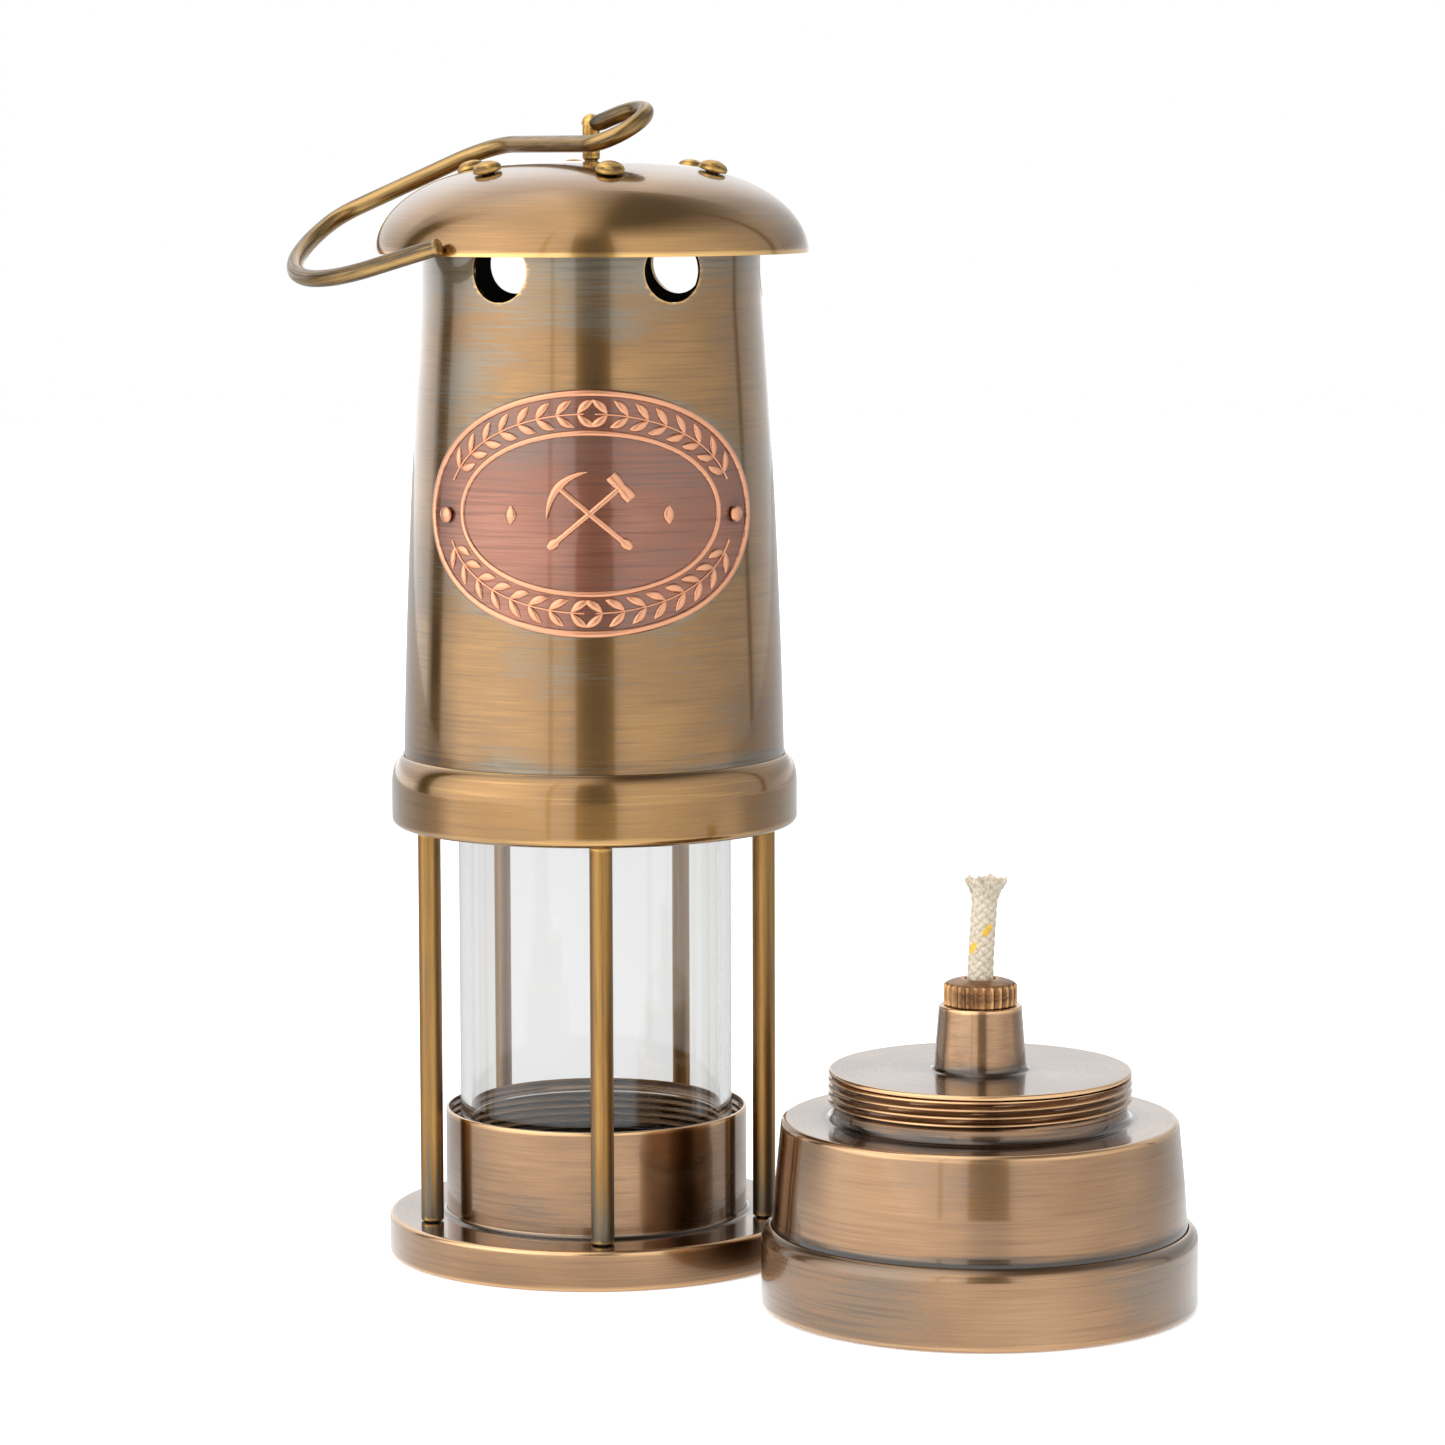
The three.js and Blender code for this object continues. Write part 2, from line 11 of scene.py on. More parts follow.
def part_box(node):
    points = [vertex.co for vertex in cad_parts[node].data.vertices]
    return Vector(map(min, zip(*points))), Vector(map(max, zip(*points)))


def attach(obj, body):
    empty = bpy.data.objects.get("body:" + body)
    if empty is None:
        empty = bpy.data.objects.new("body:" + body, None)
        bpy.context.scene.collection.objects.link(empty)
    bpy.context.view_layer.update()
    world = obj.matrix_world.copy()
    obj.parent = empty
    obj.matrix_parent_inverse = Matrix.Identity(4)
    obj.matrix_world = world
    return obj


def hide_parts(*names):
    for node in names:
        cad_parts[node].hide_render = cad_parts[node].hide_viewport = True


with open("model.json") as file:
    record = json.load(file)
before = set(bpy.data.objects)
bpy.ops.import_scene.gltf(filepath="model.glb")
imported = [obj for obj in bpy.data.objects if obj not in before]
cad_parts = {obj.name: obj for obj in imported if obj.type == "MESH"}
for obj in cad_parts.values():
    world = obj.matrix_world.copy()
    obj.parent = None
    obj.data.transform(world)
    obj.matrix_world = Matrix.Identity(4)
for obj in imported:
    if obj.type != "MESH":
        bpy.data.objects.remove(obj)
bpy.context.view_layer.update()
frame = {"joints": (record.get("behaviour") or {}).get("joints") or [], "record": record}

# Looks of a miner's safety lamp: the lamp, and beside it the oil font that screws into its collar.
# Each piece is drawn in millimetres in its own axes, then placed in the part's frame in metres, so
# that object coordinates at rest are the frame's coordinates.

MM = 0.001

# ---------------------------------------------------------------- what the frame says

record = frame["record"]
BODY_OF = {node: body for body, nodes in record["behaviour"]["bodies"].items() for node in nodes}


def axis_of(node):
    low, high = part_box(node)
    return Vector(((low.x + high.x) / 2, (low.y + high.y) / 2, 0))


def heights(node):
    low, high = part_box(node)
    return low.z / MM, high.z / MM


def middle_height(node):
    return sum(heights(node)) / 2


def radius_of(node):
    low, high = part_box(node)
    return (high.x - low.x) / 2 / MM


LAMP = axis_of("threaded_collar")
FONT = axis_of("font_band")


def polar(node):
    """Distance from the lamp's axis, in mm, and angle round it of a node's middle."""
    low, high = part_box(node)
    away = (low + high) / 2 - LAMP
    return math.hypot(away.x, away.y) / MM, math.atan2(away.y, away.x)


# ---------------------------------------------------------------- outlines

ROUND = 176  # segments round a large turned piece
AT_ONCE = 4000  # vertices matched to their outline at one time, to save memory
LOOKS_IN = -0.35  # a face whose normal points this far to the axis is an inside face
GAP = 0.3  # clearance between pieces

GLASS_BORE = 25.6
BONNET_FOOT_RADIUS = 38.65
BONNET_TOP_RADIUS = 34.4
BONNET_WALL = 0.9
PLATE_BEND = 36.0  # the bonnet's radius under the nameplate, to turn angles into lengths
VENTS = 6
VENT_RADIUS = 6.2
VENT_HEIGHT = 201.0
VENT_START = -60.75
DOME_RIM, DOME_TOP = 204.0, 222.2
DOME_RADIUS = radius_of("dome_hood")
DOME_WALL = 1.1
DOME_RIVET_CIRCLE = 26.0
DOME_RIVET_HOLE = 1.6
PLATE_RIVET_HOLE = 1.25
THREAD_PITCH = 1.5


def arc(cr, cz, rr, rz, start, end, steps=10):
    turns = np.radians(np.linspace(start, end, steps + 1))
    return [(cr + rr * math.cos(t), cz + rz * math.sin(t)) for t in turns]


def bonnet_radius(z):
    rise = np.maximum(0, z - 103)
    return np.maximum(BONNET_TOP_RADIUS, BONNET_FOOT_RADIUS - 0.023 * rise - 0.00026 * rise * rise)


def dome_height(r, inset=0.0):
    reach = min(1.0, r / (DOME_RADIUS - inset))
    return DOME_RIM + (DOME_TOP - DOME_RIM - inset * 0.9) * (1 - reach**3) ** (1 / 1.85)


def bell(x, width, power=2):
    return np.exp(-((x / width) ** power))


def wrapped(angle):
    """The same angle between minus and plus half a turn."""
    return (angle + np.pi) % (2 * np.pi) - np.pi


def dome_tilt(r):
    return math.atan(dome_height(r - 0.5) - dome_height(r + 0.5))


NEAR_CORNER = [0.3 * 1.9**i for i in range(6)]
WEAR_REACH = 0.6  # how far from a corner wear shows
FULL_TURN = math.radians(60)  # a corner this sharp has full wear


def dense(outline, closed, near_corner=NEAR_CORNER):
    """Adds points near each corner. Gives the points, their length along the outline, and a wear
    value that is positive on outside corners and negative in inside ones."""
    corners = [np.array(p, float) for p in outline]
    previous = [corners[-1], *corners[:-1]]
    corners = [p for p, q in zip(corners, previous) if np.linalg.norm(p - q) > 1e-6]
    count = len(corners)
    points = []
    along = [0.0]
    for i in range(count if closed else count - 1):
        a, b = corners[i], corners[(i + 1) % count]
        length = float(np.linalg.norm(b - a))
        near = [d for d in near_corner if d < length / 2 - 0.1]
        for d in [0.0, *near, *[length - d for d in reversed(near)]]:
            points.append((*(a + (b - a) * d / max(length, 1e-9)), along[-1] + d))
        along.append(along[-1] + length)
    total = along[-1]
    if not closed:
        points.append((*corners[-1], total))
    points = np.array(points)
    ring = np.array(corners)
    following = np.roll(ring, -1, 0)
    area = 0.5 * np.sum(ring[:, 0] * following[:, 1] - following[:, 0] * ring[:, 1])
    wear_and_painted_light = np.zeros(len(points))
    for i in range(count):
        if not closed and i in (0, count - 1):
            continue
        before = ring[i] - ring[i - 1]
        after = ring[(i + 1) % count] - ring[i]
        cross = before[0] * after[1] - before[1] * after[0]
        turn = math.atan2(cross, float(before @ after)) * math.copysign(1, area)
        gap = np.abs(points[:, 2] - along[i])
        if closed:
            gap = np.minimum(gap, total - gap)
        wear_and_painted_light += np.clip(turn / FULL_TURN, -1.4, 1.4) * bell(gap, WEAR_REACH)
    return points[:, :2], points[:, 2], wear_and_painted_light


# ---------------------------------------------------------------- meshes


def strips(rings, sides, closed=False, caps=False):
    """Faces that join each ring of vertices to the next; caps fills the first and the last ring."""
    faces = []
    for i in range(rings if closed else rings - 1):
        a, b = i * sides, ((i + 1) % rings) * sides
        for j in range(sides):
            k = (j + 1) % sides
            faces.append((a + j, a + k, b + k, b + j))
    if caps:
        faces.append(tuple(reversed(range(sides))))
        faces.append(tuple(range((rings - 1) * sides, rings * sides)))
    return faces


def mesh_object(name, verts, faces):
    mesh = bpy.data.meshes.new(name)
    mesh.from_pydata([tuple(v) for v in verts], [], faces)
    bm = bmesh.new()
    bm.from_mesh(mesh)
    bmesh.ops.recalc_face_normals(bm, faces=bm.faces)
    bm.to_mesh(mesh)
    bm.free()
    obj = bpy.data.objects.new(name, mesh)
    bpy.context.scene.collection.objects.link(obj)
    return obj


def co_of(obj):
    co = np.empty(len(obj.data.vertices) * 3)
    obj.data.vertices.foreach_get("co", co)
    return co.reshape(-1, 3)


def set_scalar(obj, name, values):
    layer = obj.data.attributes.get(name) or obj.data.attributes.new(name, "FLOAT", "POINT")
    layer.data.foreach_set("value", np.ascontiguousarray(values, np.float32))


def set_vector(obj, name, values):
    layer = obj.data.attributes.get(name) or obj.data.attributes.new(name, "FLOAT_VECTOR", "POINT")
    layer.data.foreach_set("vector", np.ascontiguousarray(values, np.float32).ravel())


def shade(obj, sharp=32):
    obj.data.shade_smooth()
    obj.data.set_sharp_from_angle(angle=math.radians(sharp))


def carve(obj, cutters):
    """Cuts closed meshes, drawn in the same axes, out of obj."""
    for cutter in cutters:
        modifier = obj.modifiers.new("cut", "BOOLEAN")
        modifier.operation = "DIFFERENCE"
        modifier.solver = "EXACT"
        modifier.object = cutter
    bpy.context.view_layer.update()
    graph = bpy.context.evaluated_depsgraph_get()
    mesh = bpy.data.meshes.new_from_object(obj.evaluated_get(graph))
    obj.modifiers.clear()
    old = obj.data
    obj.data = mesh
    bpy.data.meshes.remove(old)
    for cutter in cutters:
        bpy.data.objects.remove(cutter)


def spin(points, segments, closed, warp=None):
    """Vertices and faces of an outline turned round Z. An open outline starts and ends on the axis."""
    turns = np.linspace(0, 2 * np.pi, segments, endpoint=False)
    rows = points if closed else points[1:-1]
    r = np.repeat(rows[:, :1], segments, 1)
    z = np.repeat(rows[:, 1:2], segments, 1)
    t = np.repeat(turns[None, :], len(rows), 0)
    if warp:
        r = warp(r, t, z)
    verts = np.stack([r * np.cos(t), r * np.sin(t), z], -1).reshape(-1, 3)
    count = len(rows)
    faces = [(a, d, c, b) for a, b, c, d in strips(count, segments, closed)]
    if not closed:
        first, last = len(verts), len(verts) + 1
        verts = np.vstack([verts, [0, 0, points[0, 1]], [0, 0, points[-1, 1]]])
        end = (count - 1) * segments
        for j in range(segments):
            k = (j + 1) % segments
            faces.append((first, j, k))
            faces.append((last, end + k, end + j))
    return verts, faces


def drum(radius, low, high, place=Matrix.Identity(4), segments=40):
    """A plain cylinder to cut with."""
    outline = np.array([(0, low), (radius, low), (radius, high), (0, high)], float)
    obj = mesh_object("cutter", *spin(outline, segments, False))
    obj.data.transform(place)
    return obj


def turned(place, radius=0.0, angle=0.0, height=0.0, tilt=0.0):
    """Where a piece drawn along Z goes: out on a circle, tipped outward by tilt, in radians."""
    return (
        place
        @ Matrix.Rotation(angle, 4, "Z")
        @ Matrix.Translation((radius, 0, height))
        @ Matrix.Rotation(tilt, 4, "Y")
    )


def seat(axis):
    return Matrix.Translation(axis) @ Matrix.Scale(MM, 4)


ON_LAMP = seat(LAMP)
ON_FONT = seat(FONT)
HERE = Matrix.Identity(4)


def finish(obj, node, materials):
    """Gives obj its materials and makes it stand for a CAD node."""
    obj.data.materials.clear()
    for material in materials:
        obj.data.materials.append(material)
    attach(obj, BODY_OF[node])
    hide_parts(node)
    return obj


def lathe(node, outline, material, place=ON_LAMP, closed=True, segments=ROUND, cutters=(), warp=None,
          paint=None, drawn=False, inner=None, sharp=32, near_corner=NEAR_CORNER):
    """A turned piece. paint(x, y, z) gives wear and patina to add, in mm in the piece's own axes, and
    on some pieces painted highlights and painted shade as well; drawn runs the grain along the axis;
    inner is the material of faces that look at the axis."""
    points, along, wear_and_painted_light = dense(outline, closed, near_corner)
    verts, faces = spin(points, segments, closed, warp)
    obj = mesh_object(node + "_finish", verts, faces)
    if cutters:
        carve(obj, cutters)
    co = co_of(obj)
    r = np.hypot(co[:, 0], co[:, 1])
    nearest = np.empty(len(co), int)
    for start in range(0, len(co), AT_ONCE):
        part = slice(start, start + AT_ONCE)
        gap = (r[part, None] - points[None, :, 0]) ** 2 + (co[part, 2, None] - points[None, :, 1]) ** 2
        nearest[part] = gap.argmin(1)
    wear_and_painted_light = wear_and_painted_light[nearest]
    patina_and_painted_shade = np.zeros(len(co))
    if paint:
        extra_wear_and_painted_light, extra_patina_and_painted_shade = paint(co[:, 0], co[:, 1], co[:, 2])
        wear_and_painted_light = wear_and_painted_light + extra_wear_and_painted_light
        patina_and_painted_shade = patina_and_painted_shade + extra_patina_and_painted_shade
    if drawn:
        grain = np.stack([co[:, 0] * 0.8, co[:, 1] * 0.8, co[:, 2] * 0.03], 1)
    else:
        safe = np.maximum(r, 1e-6)
        grain = np.stack([co[:, 0] / safe, co[:, 1] / safe, along[nearest]], 1)
        flat = np.abs(points[nearest, 1] - co[:, 2]) + np.abs(points[nearest, 0] - r)
        grain[:, 2] += flat
    set_vector(obj, "grain", grain)
    set_scalar(obj, "wear_and_painted_light", wear_and_painted_light)
    set_scalar(obj, "patina_and_painted_shade", patina_and_painted_shade)
    materials = [material]
    if inner:
        materials.append(inner)
        for face in obj.data.polygons:
            away = Vector((face.center.x, face.center.y, 0)).normalized()
            face.material_index = 1 if face.normal.dot(away) < LOOKS_IN else 0
    obj.data.transform(place)
    shade(obj, sharp)
    keep = [face.material_index for face in obj.data.polygons] if inner else None
    finish(obj, node, materials)
    if keep:
        obj.data.polygons.foreach_set("material_index", keep)
    return obj


def sweep(points, radii, sides):
    """A tube along points. Gives vertices, faces, and each vertex's length along and angle round."""
    points = np.array(points, float)
    tangents = np.gradient(points, axis=0)
    tangents /= np.linalg.norm(tangents, axis=1)[:, None]
    side = np.cross(tangents[0], (0.3, 0.2, 0.93))
    side /= np.linalg.norm(side)
    turns = np.linspace(0, 2 * np.pi, sides, endpoint=False)
    steps = np.linalg.norm(np.diff(points, axis=0), axis=1)
    along = np.concatenate([[0], np.cumsum(steps)])
    verts, lengths, angles = [], [], []
    for point, tangent, radius, length in zip(points, tangents, radii, along):
        side = side - tangent * (side @ tangent)
        side /= np.linalg.norm(side)
        up = np.cross(tangent, side)
        for turn in turns:
            verts.append(point + radius * (math.cos(turn) * side + math.sin(turn) * up))
            lengths.append(length)
            angles.append(turn)
    return verts, strips(len(points), sides, caps=True), np.array(lengths), np.array(angles)


# ---------------------------------------------------------------- materials


class Nodes:
    """The node tree of a material or a world, under construction."""

    def __init__(self, owner):
        owner.use_nodes = True
        self.tree = owner.node_tree
        self.tree.nodes.clear()

    def node(self, kind, inputs=None, **settings):
        made = self.tree.nodes.new("ShaderNode" + kind)
        for key, value in settings.items():
            setattr(made, key, value)
        for key, value in (inputs or {}).items():
            self.put(made.inputs[key], value)
        return made

    def put(self, socket, value):
        if isinstance(value, bpy.types.NodeSocket):
            self.tree.links.new(value, socket)
        else:
            socket.default_value = value

    def maths(self, operation, a, b=0.0, clamp=False):
        return self.node("Math", {0: a, 1: b}, operation=operation, use_clamp=clamp).outputs[0]

    def ease(self, value, low, high, to_low=0.0, to_high=1.0):
        made = self.node("MapRange", {0: value, 1: low, 2: high, 3: to_low, 4: to_high})
        return made.outputs[0]

    def mix(self, factor, a, b):
        return self.node("Mix", {0: factor, 6: a, 7: b}, data_type="RGBA").outputs[2]

    def blend(self, factor, a, b):
        return self.node("Mix", {0: factor, 2: a, 3: b}, data_type="FLOAT").outputs[0]

    def noise(self, vector, scale, detail=3.0, offset=0.0):
        mapped = self.node("Mapping", {"Vector": vector, "Scale": scale, "Location": (offset,) * 3})
        made = self.node("TexNoise", {"Vector": mapped.outputs[0], "Scale": 1.0, "Detail": detail})
        return made.outputs[0]

    def ramp(self, value, stops):
        made = self.node("ValToRGB", {0: value})
        elements = made.color_ramp.elements
        while len(elements) < len(stops):
            elements.new(0.5)
        for element, (position, colour) in zip(elements, stops):
            element.position = position
            element.color = colour
        return made.outputs[0]


class Shader(Nodes):
    """A material with one Principled shader."""

    def __init__(self, name):
        self.material = bpy.data.materials.new(name)
        super().__init__(self.material)
        self.bsdf = self.node("BsdfPrincipled")
        self.node("OutputMaterial", {"Surface": self.bsdf.outputs[0]})

    def set(self, **values):
        for key, value in values.items():
            self.put(self.bsdf.inputs[key.replace("_", " ")], value)

    def attribute(self, name, output="Fac"):
        return self.node("Attribute", attribute_name=name).outputs[output]


def rgb(r, g, b):
    return (r, g, b, 1.0)


def lacquered(name, base, pale, patina_and_painted_shade, bright, dark, roughness=0.21, coat=1.0, contrast=1.0):
    """Brushed antique metal under clear lacquer. Streaks along the grain run from patina through base
    to pale; worn edges turn bright, and inside corners turn dark."""
    s = Shader(name)
    grain = s.attribute("grain", "Vector")
    fine = s.noise(grain, (3.2, 3.2, 3.4), 4.0)
    middle = s.noise(grain, (1.3, 1.3, 1.4), 3.0, 7.3)
    cloud = s.noise(grain, (1.1, 1.1, 0.05), 2.0, 3.1)
    tone = s.maths("MULTIPLY", fine, 0.30)
    tone = s.maths("ADD", tone, s.maths("MULTIPLY", middle, 0.12))
    tone = s.maths("ADD", tone, s.maths("MULTIPLY", cloud, 0.58))
    spread = 0.15 / contrast
    tone = s.ease(tone, 0.5 - spread, 0.5 + spread)
    # Painted light: the patina and wear values also carry the painted shade and painted highlights
    # that some pieces paint, which turn darker or brighter here like patina and wear.
    tone = s.maths("SUBTRACT", tone, s.attribute("patina_and_painted_shade"), clamp=True)
    colour = s.ramp(tone, [(0.0, patina_and_painted_shade), (0.42, base), (1.0, pale)])
    wear_and_painted_light = s.maths("ADD", s.attribute("wear_and_painted_light"), s.ease(middle, 0.35, 0.65, -0.25, 0.25))
    colour = s.mix(s.ease(wear_and_painted_light, 0.25, 1.0), colour, bright)
    colour = s.mix(s.ease(wear_and_painted_light, -0.15, -0.9), colour, dark)
    bump = s.node("Bump", {"Height": fine, "Strength": 0.35, "Distance": 0.000015})
    rough = s.ease(tone, 0.0, 1.0, roughness + 0.1, roughness - 0.05)
    s.set(Base_Color=colour, Metallic=1.0, Roughness=rough, Normal=bump.outputs[0])
    s.set(Coat_Weight=coat, Coat_Roughness=0.045, Coat_IOR=1.5)
    return s.material


BRASS = lacquered(
    "antique_brass", rgb(0.200, 0.104, 0.032), rgb(0.29, 0.152, 0.043), rgb(0.175, 0.148, 0.105),
    rgb(0.55, 0.33, 0.10), rgb(0.030, 0.022, 0.013),
)
CROWN = lacquered(
    "crown_brass", rgb(0.232, 0.117, 0.033), rgb(0.315, 0.170, 0.048), rgb(0.165, 0.108, 0.052),
    rgb(0.62, 0.37, 0.12), rgb(0.03, 0.02, 0.012), contrast=0.8,
)
BRONZE = lacquered(
    "antique_bronze", rgb(0.232, 0.124, 0.055), rgb(0.325, 0.190, 0.095), rgb(0.150, 0.104, 0.068),
    rgb(0.60, 0.36, 0.17), rgb(0.03, 0.023, 0.018), contrast=0.85,
)
SATIN_BRONZE = lacquered(
    "satin_bronze", rgb(0.21, 0.10, 0.042), rgb(0.29, 0.155, 0.07), rgb(0.12, 0.07, 0.04),
    rgb(0.50, 0.29, 0.125), rgb(0.028, 0.016, 0.009), roughness=0.42, coat=0.15,
)
ROD = lacquered(
    "pillar_brass", rgb(0.25, 0.130, 0.036), rgb(0.355, 0.205, 0.06), rgb(0.13, 0.112, 0.078),
    rgb(0.5, 0.3, 0.09), rgb(0.035, 0.026, 0.016), roughness=0.38, coat=0.2, contrast=0.8,
)
RIVET = lacquered(
    "rivet_brass", rgb(0.38, 0.205, 0.048), rgb(0.52, 0.315, 0.080), rgb(0.15, 0.085, 0.035),
    rgb(0.66, 0.43, 0.13), rgb(0.03, 0.02, 0.01), roughness=0.36, coat=0.1, contrast=1.2,
)
WIRE = lacquered(
    "hook_brass", rgb(0.22, 0.128, 0.038), rgb(0.36, 0.222, 0.075), rgb(0.068, 0.047, 0.025),
    rgb(0.45, 0.29, 0.11), rgb(0.03, 0.02, 0.012), roughness=0.34, coat=0.45, contrast=1.75,
)
COPPER = lacquered(
    "antique_copper", rgb(0.215, 0.078, 0.044), rgb(0.29, 0.125, 0.08), rgb(0.15, 0.088, 0.066),
    rgb(0.60, 0.27, 0.14), rgb(0.075, 0.028, 0.018), roughness=0.32,
)


def sooty():
    s = Shader("sooty_metal")
    place = s.node("TexCoord").outputs["Object"]
    cloud = s.noise(place, (60.0, 60.0, 60.0), 4.0)
    s.set(Base_Color=s.ramp(cloud, [(0.35, rgb(0.006, 0.005, 0.004)), (0.7, rgb(0.02, 0.016, 0.011))]))
    s.set(Metallic=0.4, Roughness=s.ease(cloud, 0.3, 0.7, 0.5, 0.7))
    return s.material


def clear_glass():
    s = Shader("chimney_glass")
    place = s.node("TexCoord").outputs["Object"]
    waves = s.noise(place, (25.0, 25.0, 6.0), 2.0)
    bump = s.node("Bump", {"Height": waves, "Strength": 0.15, "Distance": 0.0002})
    tint = s.ramp(waves, [(0.3, rgb(0.985, 0.99, 0.988)), (0.7, rgb(0.995, 0.998, 0.996))])
    s.set(Base_Color=tint, Roughness=0.0, IOR=1.47, Transmission_Weight=1.0, Normal=bump.outputs[0])
    s.set(Specular_IOR_Level=0.3)
    return s.material


def cotton():
    s = Shader("wick_cotton")
    grain = s.attribute("grain", "Vector")
    fibre = s.noise(grain, (1.0, 1.0, 1.0), 4.0)
    colour = s.ramp(fibre, [(0.3, rgb(0.44, 0.385, 0.295)), (0.65, rgb(0.60, 0.54, 0.44))])
    # Painted shade: negative wear darkens the cotton in the braid's gaps and inside its open mouth.
    colour = s.mix(s.ease(s.attribute("wear_and_painted_light"), 0.0, -1.0, 0.0, 0.6), colour, rgb(0.33, 0.25, 0.16))
    colour = s.mix(s.attribute("fleck"), colour, rgb(0.62, 0.40, 0.035))
    bump = s.node("Bump", {"Height": fibre, "Strength": 0.5, "Distance": 0.00015})
    s.set(Base_Color=colour, Roughness=0.95, Normal=bump.outputs[0])
    s.set(Sheen_Weight=0.3, Sheen_Roughness=0.5, Subsurface_Weight=0.15, Subsurface_Scale=0.001)
    return s.material


def fibre_board():
    s = Shader("gasket_fibre")
    place = s.node("TexCoord").outputs["Object"]
    flakes = s.noise(place, (900.0, 900.0, 900.0), 4.0)
    s.set(Base_Color=s.ramp(flakes, [(0.3, rgb(0.16, 0.13, 0.10)), (0.7, rgb(0.30, 0.26, 0.20))]))
    bump = s.node("Bump", {"Height": flakes, "Strength": 0.5, "Distance": 0.0001})
    s.set(Roughness=0.9, Normal=bump.outputs[0])
    return s.material


SOOT = sooty()
GLASS = clear_glass()
COTTON = cotton()
FIBRE = fibre_board()

# ---------------------------------------------------------------- flange, collar and pillars

PILLARS = [f"pillar_{i}" for i in range(1, 6)]
PEEN = 3.0
TENON = 1.5


def base_flange():
    _, top = heights("base_flange")
    rim = radius_of("base_flange")
    bore = radius_of("threaded_collar") + 0.06
    edge = 0.9
    solder = 0.9
    outline = [
        (bore, 0.0),
        *arc(rim - edge, edge, edge, edge, -90, 0),
        *arc(rim - edge, top - edge, edge, edge, 0, 90),
        *arc(bore + solder, top + solder, solder, solder, -90, -176, 8),
    ]
    cutters = []
    for name in PILLARS:
        r, angle = polar(name)
        cutters.append(drum(TENON + GAP, -2, top + 2, turned(HERE, r, angle), 32))
        cutters.append(drum(PEEN, -2, 0.9, turned(HERE, r, angle), 32))

    def paint(x, y, z):
        r = np.hypot(x, y)
        fillet = bell(np.maximum(0, r - bore), 1.3) * (z > top - 0.5)
        foot = np.zeros(len(x))
        for name in PILLARS:
            reach, angle = polar(name)
            away = np.hypot(x - reach * math.cos(angle), y - reach * math.sin(angle))
            foot += bell(away, 3.2, 4) * (z > top - 0.5)
        return -0.25 * fillet - 0.5 * foot, 0.6 * fillet

    lathe("base_flange", outline, BRONZE, cutters=cutters, paint=paint)


def helix(low, high, root, crest, pitch, fade=0.8):
    """Turns a plain wall between two heights into a right-handed screw thread."""

    def warp(r, t, z):
        phase = (z / pitch - t / (2 * np.pi)) % 1.0
        ridge = np.clip(1.25 - 2.6 * np.abs(phase - 0.5), 0, 1)
        on = np.clip((z - low) / fade, 0, 1) * np.clip((high - z) / fade, 0, 1)
        wall = np.abs(r - root) < 0.02
        return np.where(wall, root + (crest - root) * ridge * on, r)

    return warp


def threaded_collar():
    low, high = heights("threaded_collar")
    rim = radius_of("threaded_collar")
    root, crest = rim - 0.45, rim - 0.95
    rows = [(root, z) for z in np.arange(high - 0.6, 1.0, -0.16)]
    outline = [
        (rim - 0.3, low),
        *arc(rim - 0.3, low + 0.3, 0.3, 0.3, -90, 0, 3)[1:],
        *arc(rim - 0.3, high - 0.3, 0.3, 0.3, 0, 90, 4),
        (root - 0.1, high),
        *rows,
        (root, low),
    ]

    def paint(x, y, z):
        r = np.hypot(x, y)
        inside = r < rim - 0.3
        crests = np.clip((root - r) / 0.5, 0, 1)
        # Painted shade: inside, the bore is painted darker below about 20.8 mm, where shade falls deep
        # in the collar.
        deep_bore_shade = np.clip((20.8 - z) / 1.5, 0, 1)
        foot = bell(z - 8.25, 1.2) * (~inside)
        wear_and_painted_light = np.where(inside & (z < high - 0.5), -0.7 + 1.2 * crests - 1.5 * deep_bore_shade, 0.0) - 0.2 * foot
        return wear_and_painted_light, np.where(inside, 0.1, 0.25 * foot)

    lathe("threaded_collar", outline, BRONZE, warp=helix(1.0, high - 0.6, root, crest, THREAD_PITCH),
          paint=paint, segments=200, sharp=60)


def pillar(node):
    radius, angle = polar(node)
    foot = heights("base_flange")[1] + GAP
    head = heights("crown_ring")[0] - GAP
    low, high = heights(node)
    rod = 2.3
    outline = [
        (0, low),
        *arc(0, low + 0.8, 2.2, 0.8, -80, 0, 6),
        (TENON, low + 1.1),
        (TENON, foot),
        (rod - 0.1, foot),
        (rod, foot + 0.15),
        (rod, foot + 12), (rod, foot + 30), (rod, foot + 50), (rod, foot + 66),
        (rod, head - 0.15),
        (rod - 0.1, head),
        (TENON, head),
        (TENON, high - 0.9),
        (2.0, high - 0.9),
        *arc(0, high - 0.9, 1.95, 0.9, 10, 80, 5),
        (0, high),
    ]

    def paint(x, y, z):
        stained = np.clip((foot + 22 - z) / 22, 0, 1)
        foot_ring = bell(z - foot, 0.7)
        return -0.5 * foot_ring, 0.65 * stained**1.5

    lathe(node, outline, ROD, place=turned(ON_LAMP, radius, angle), closed=False, segments=48,
          paint=paint, drawn=True)


base_flange()
threaded_collar()
for pillar_node in PILLARS:
    pillar(pillar_node)

# ---------------------------------------------------------------- crown and glass


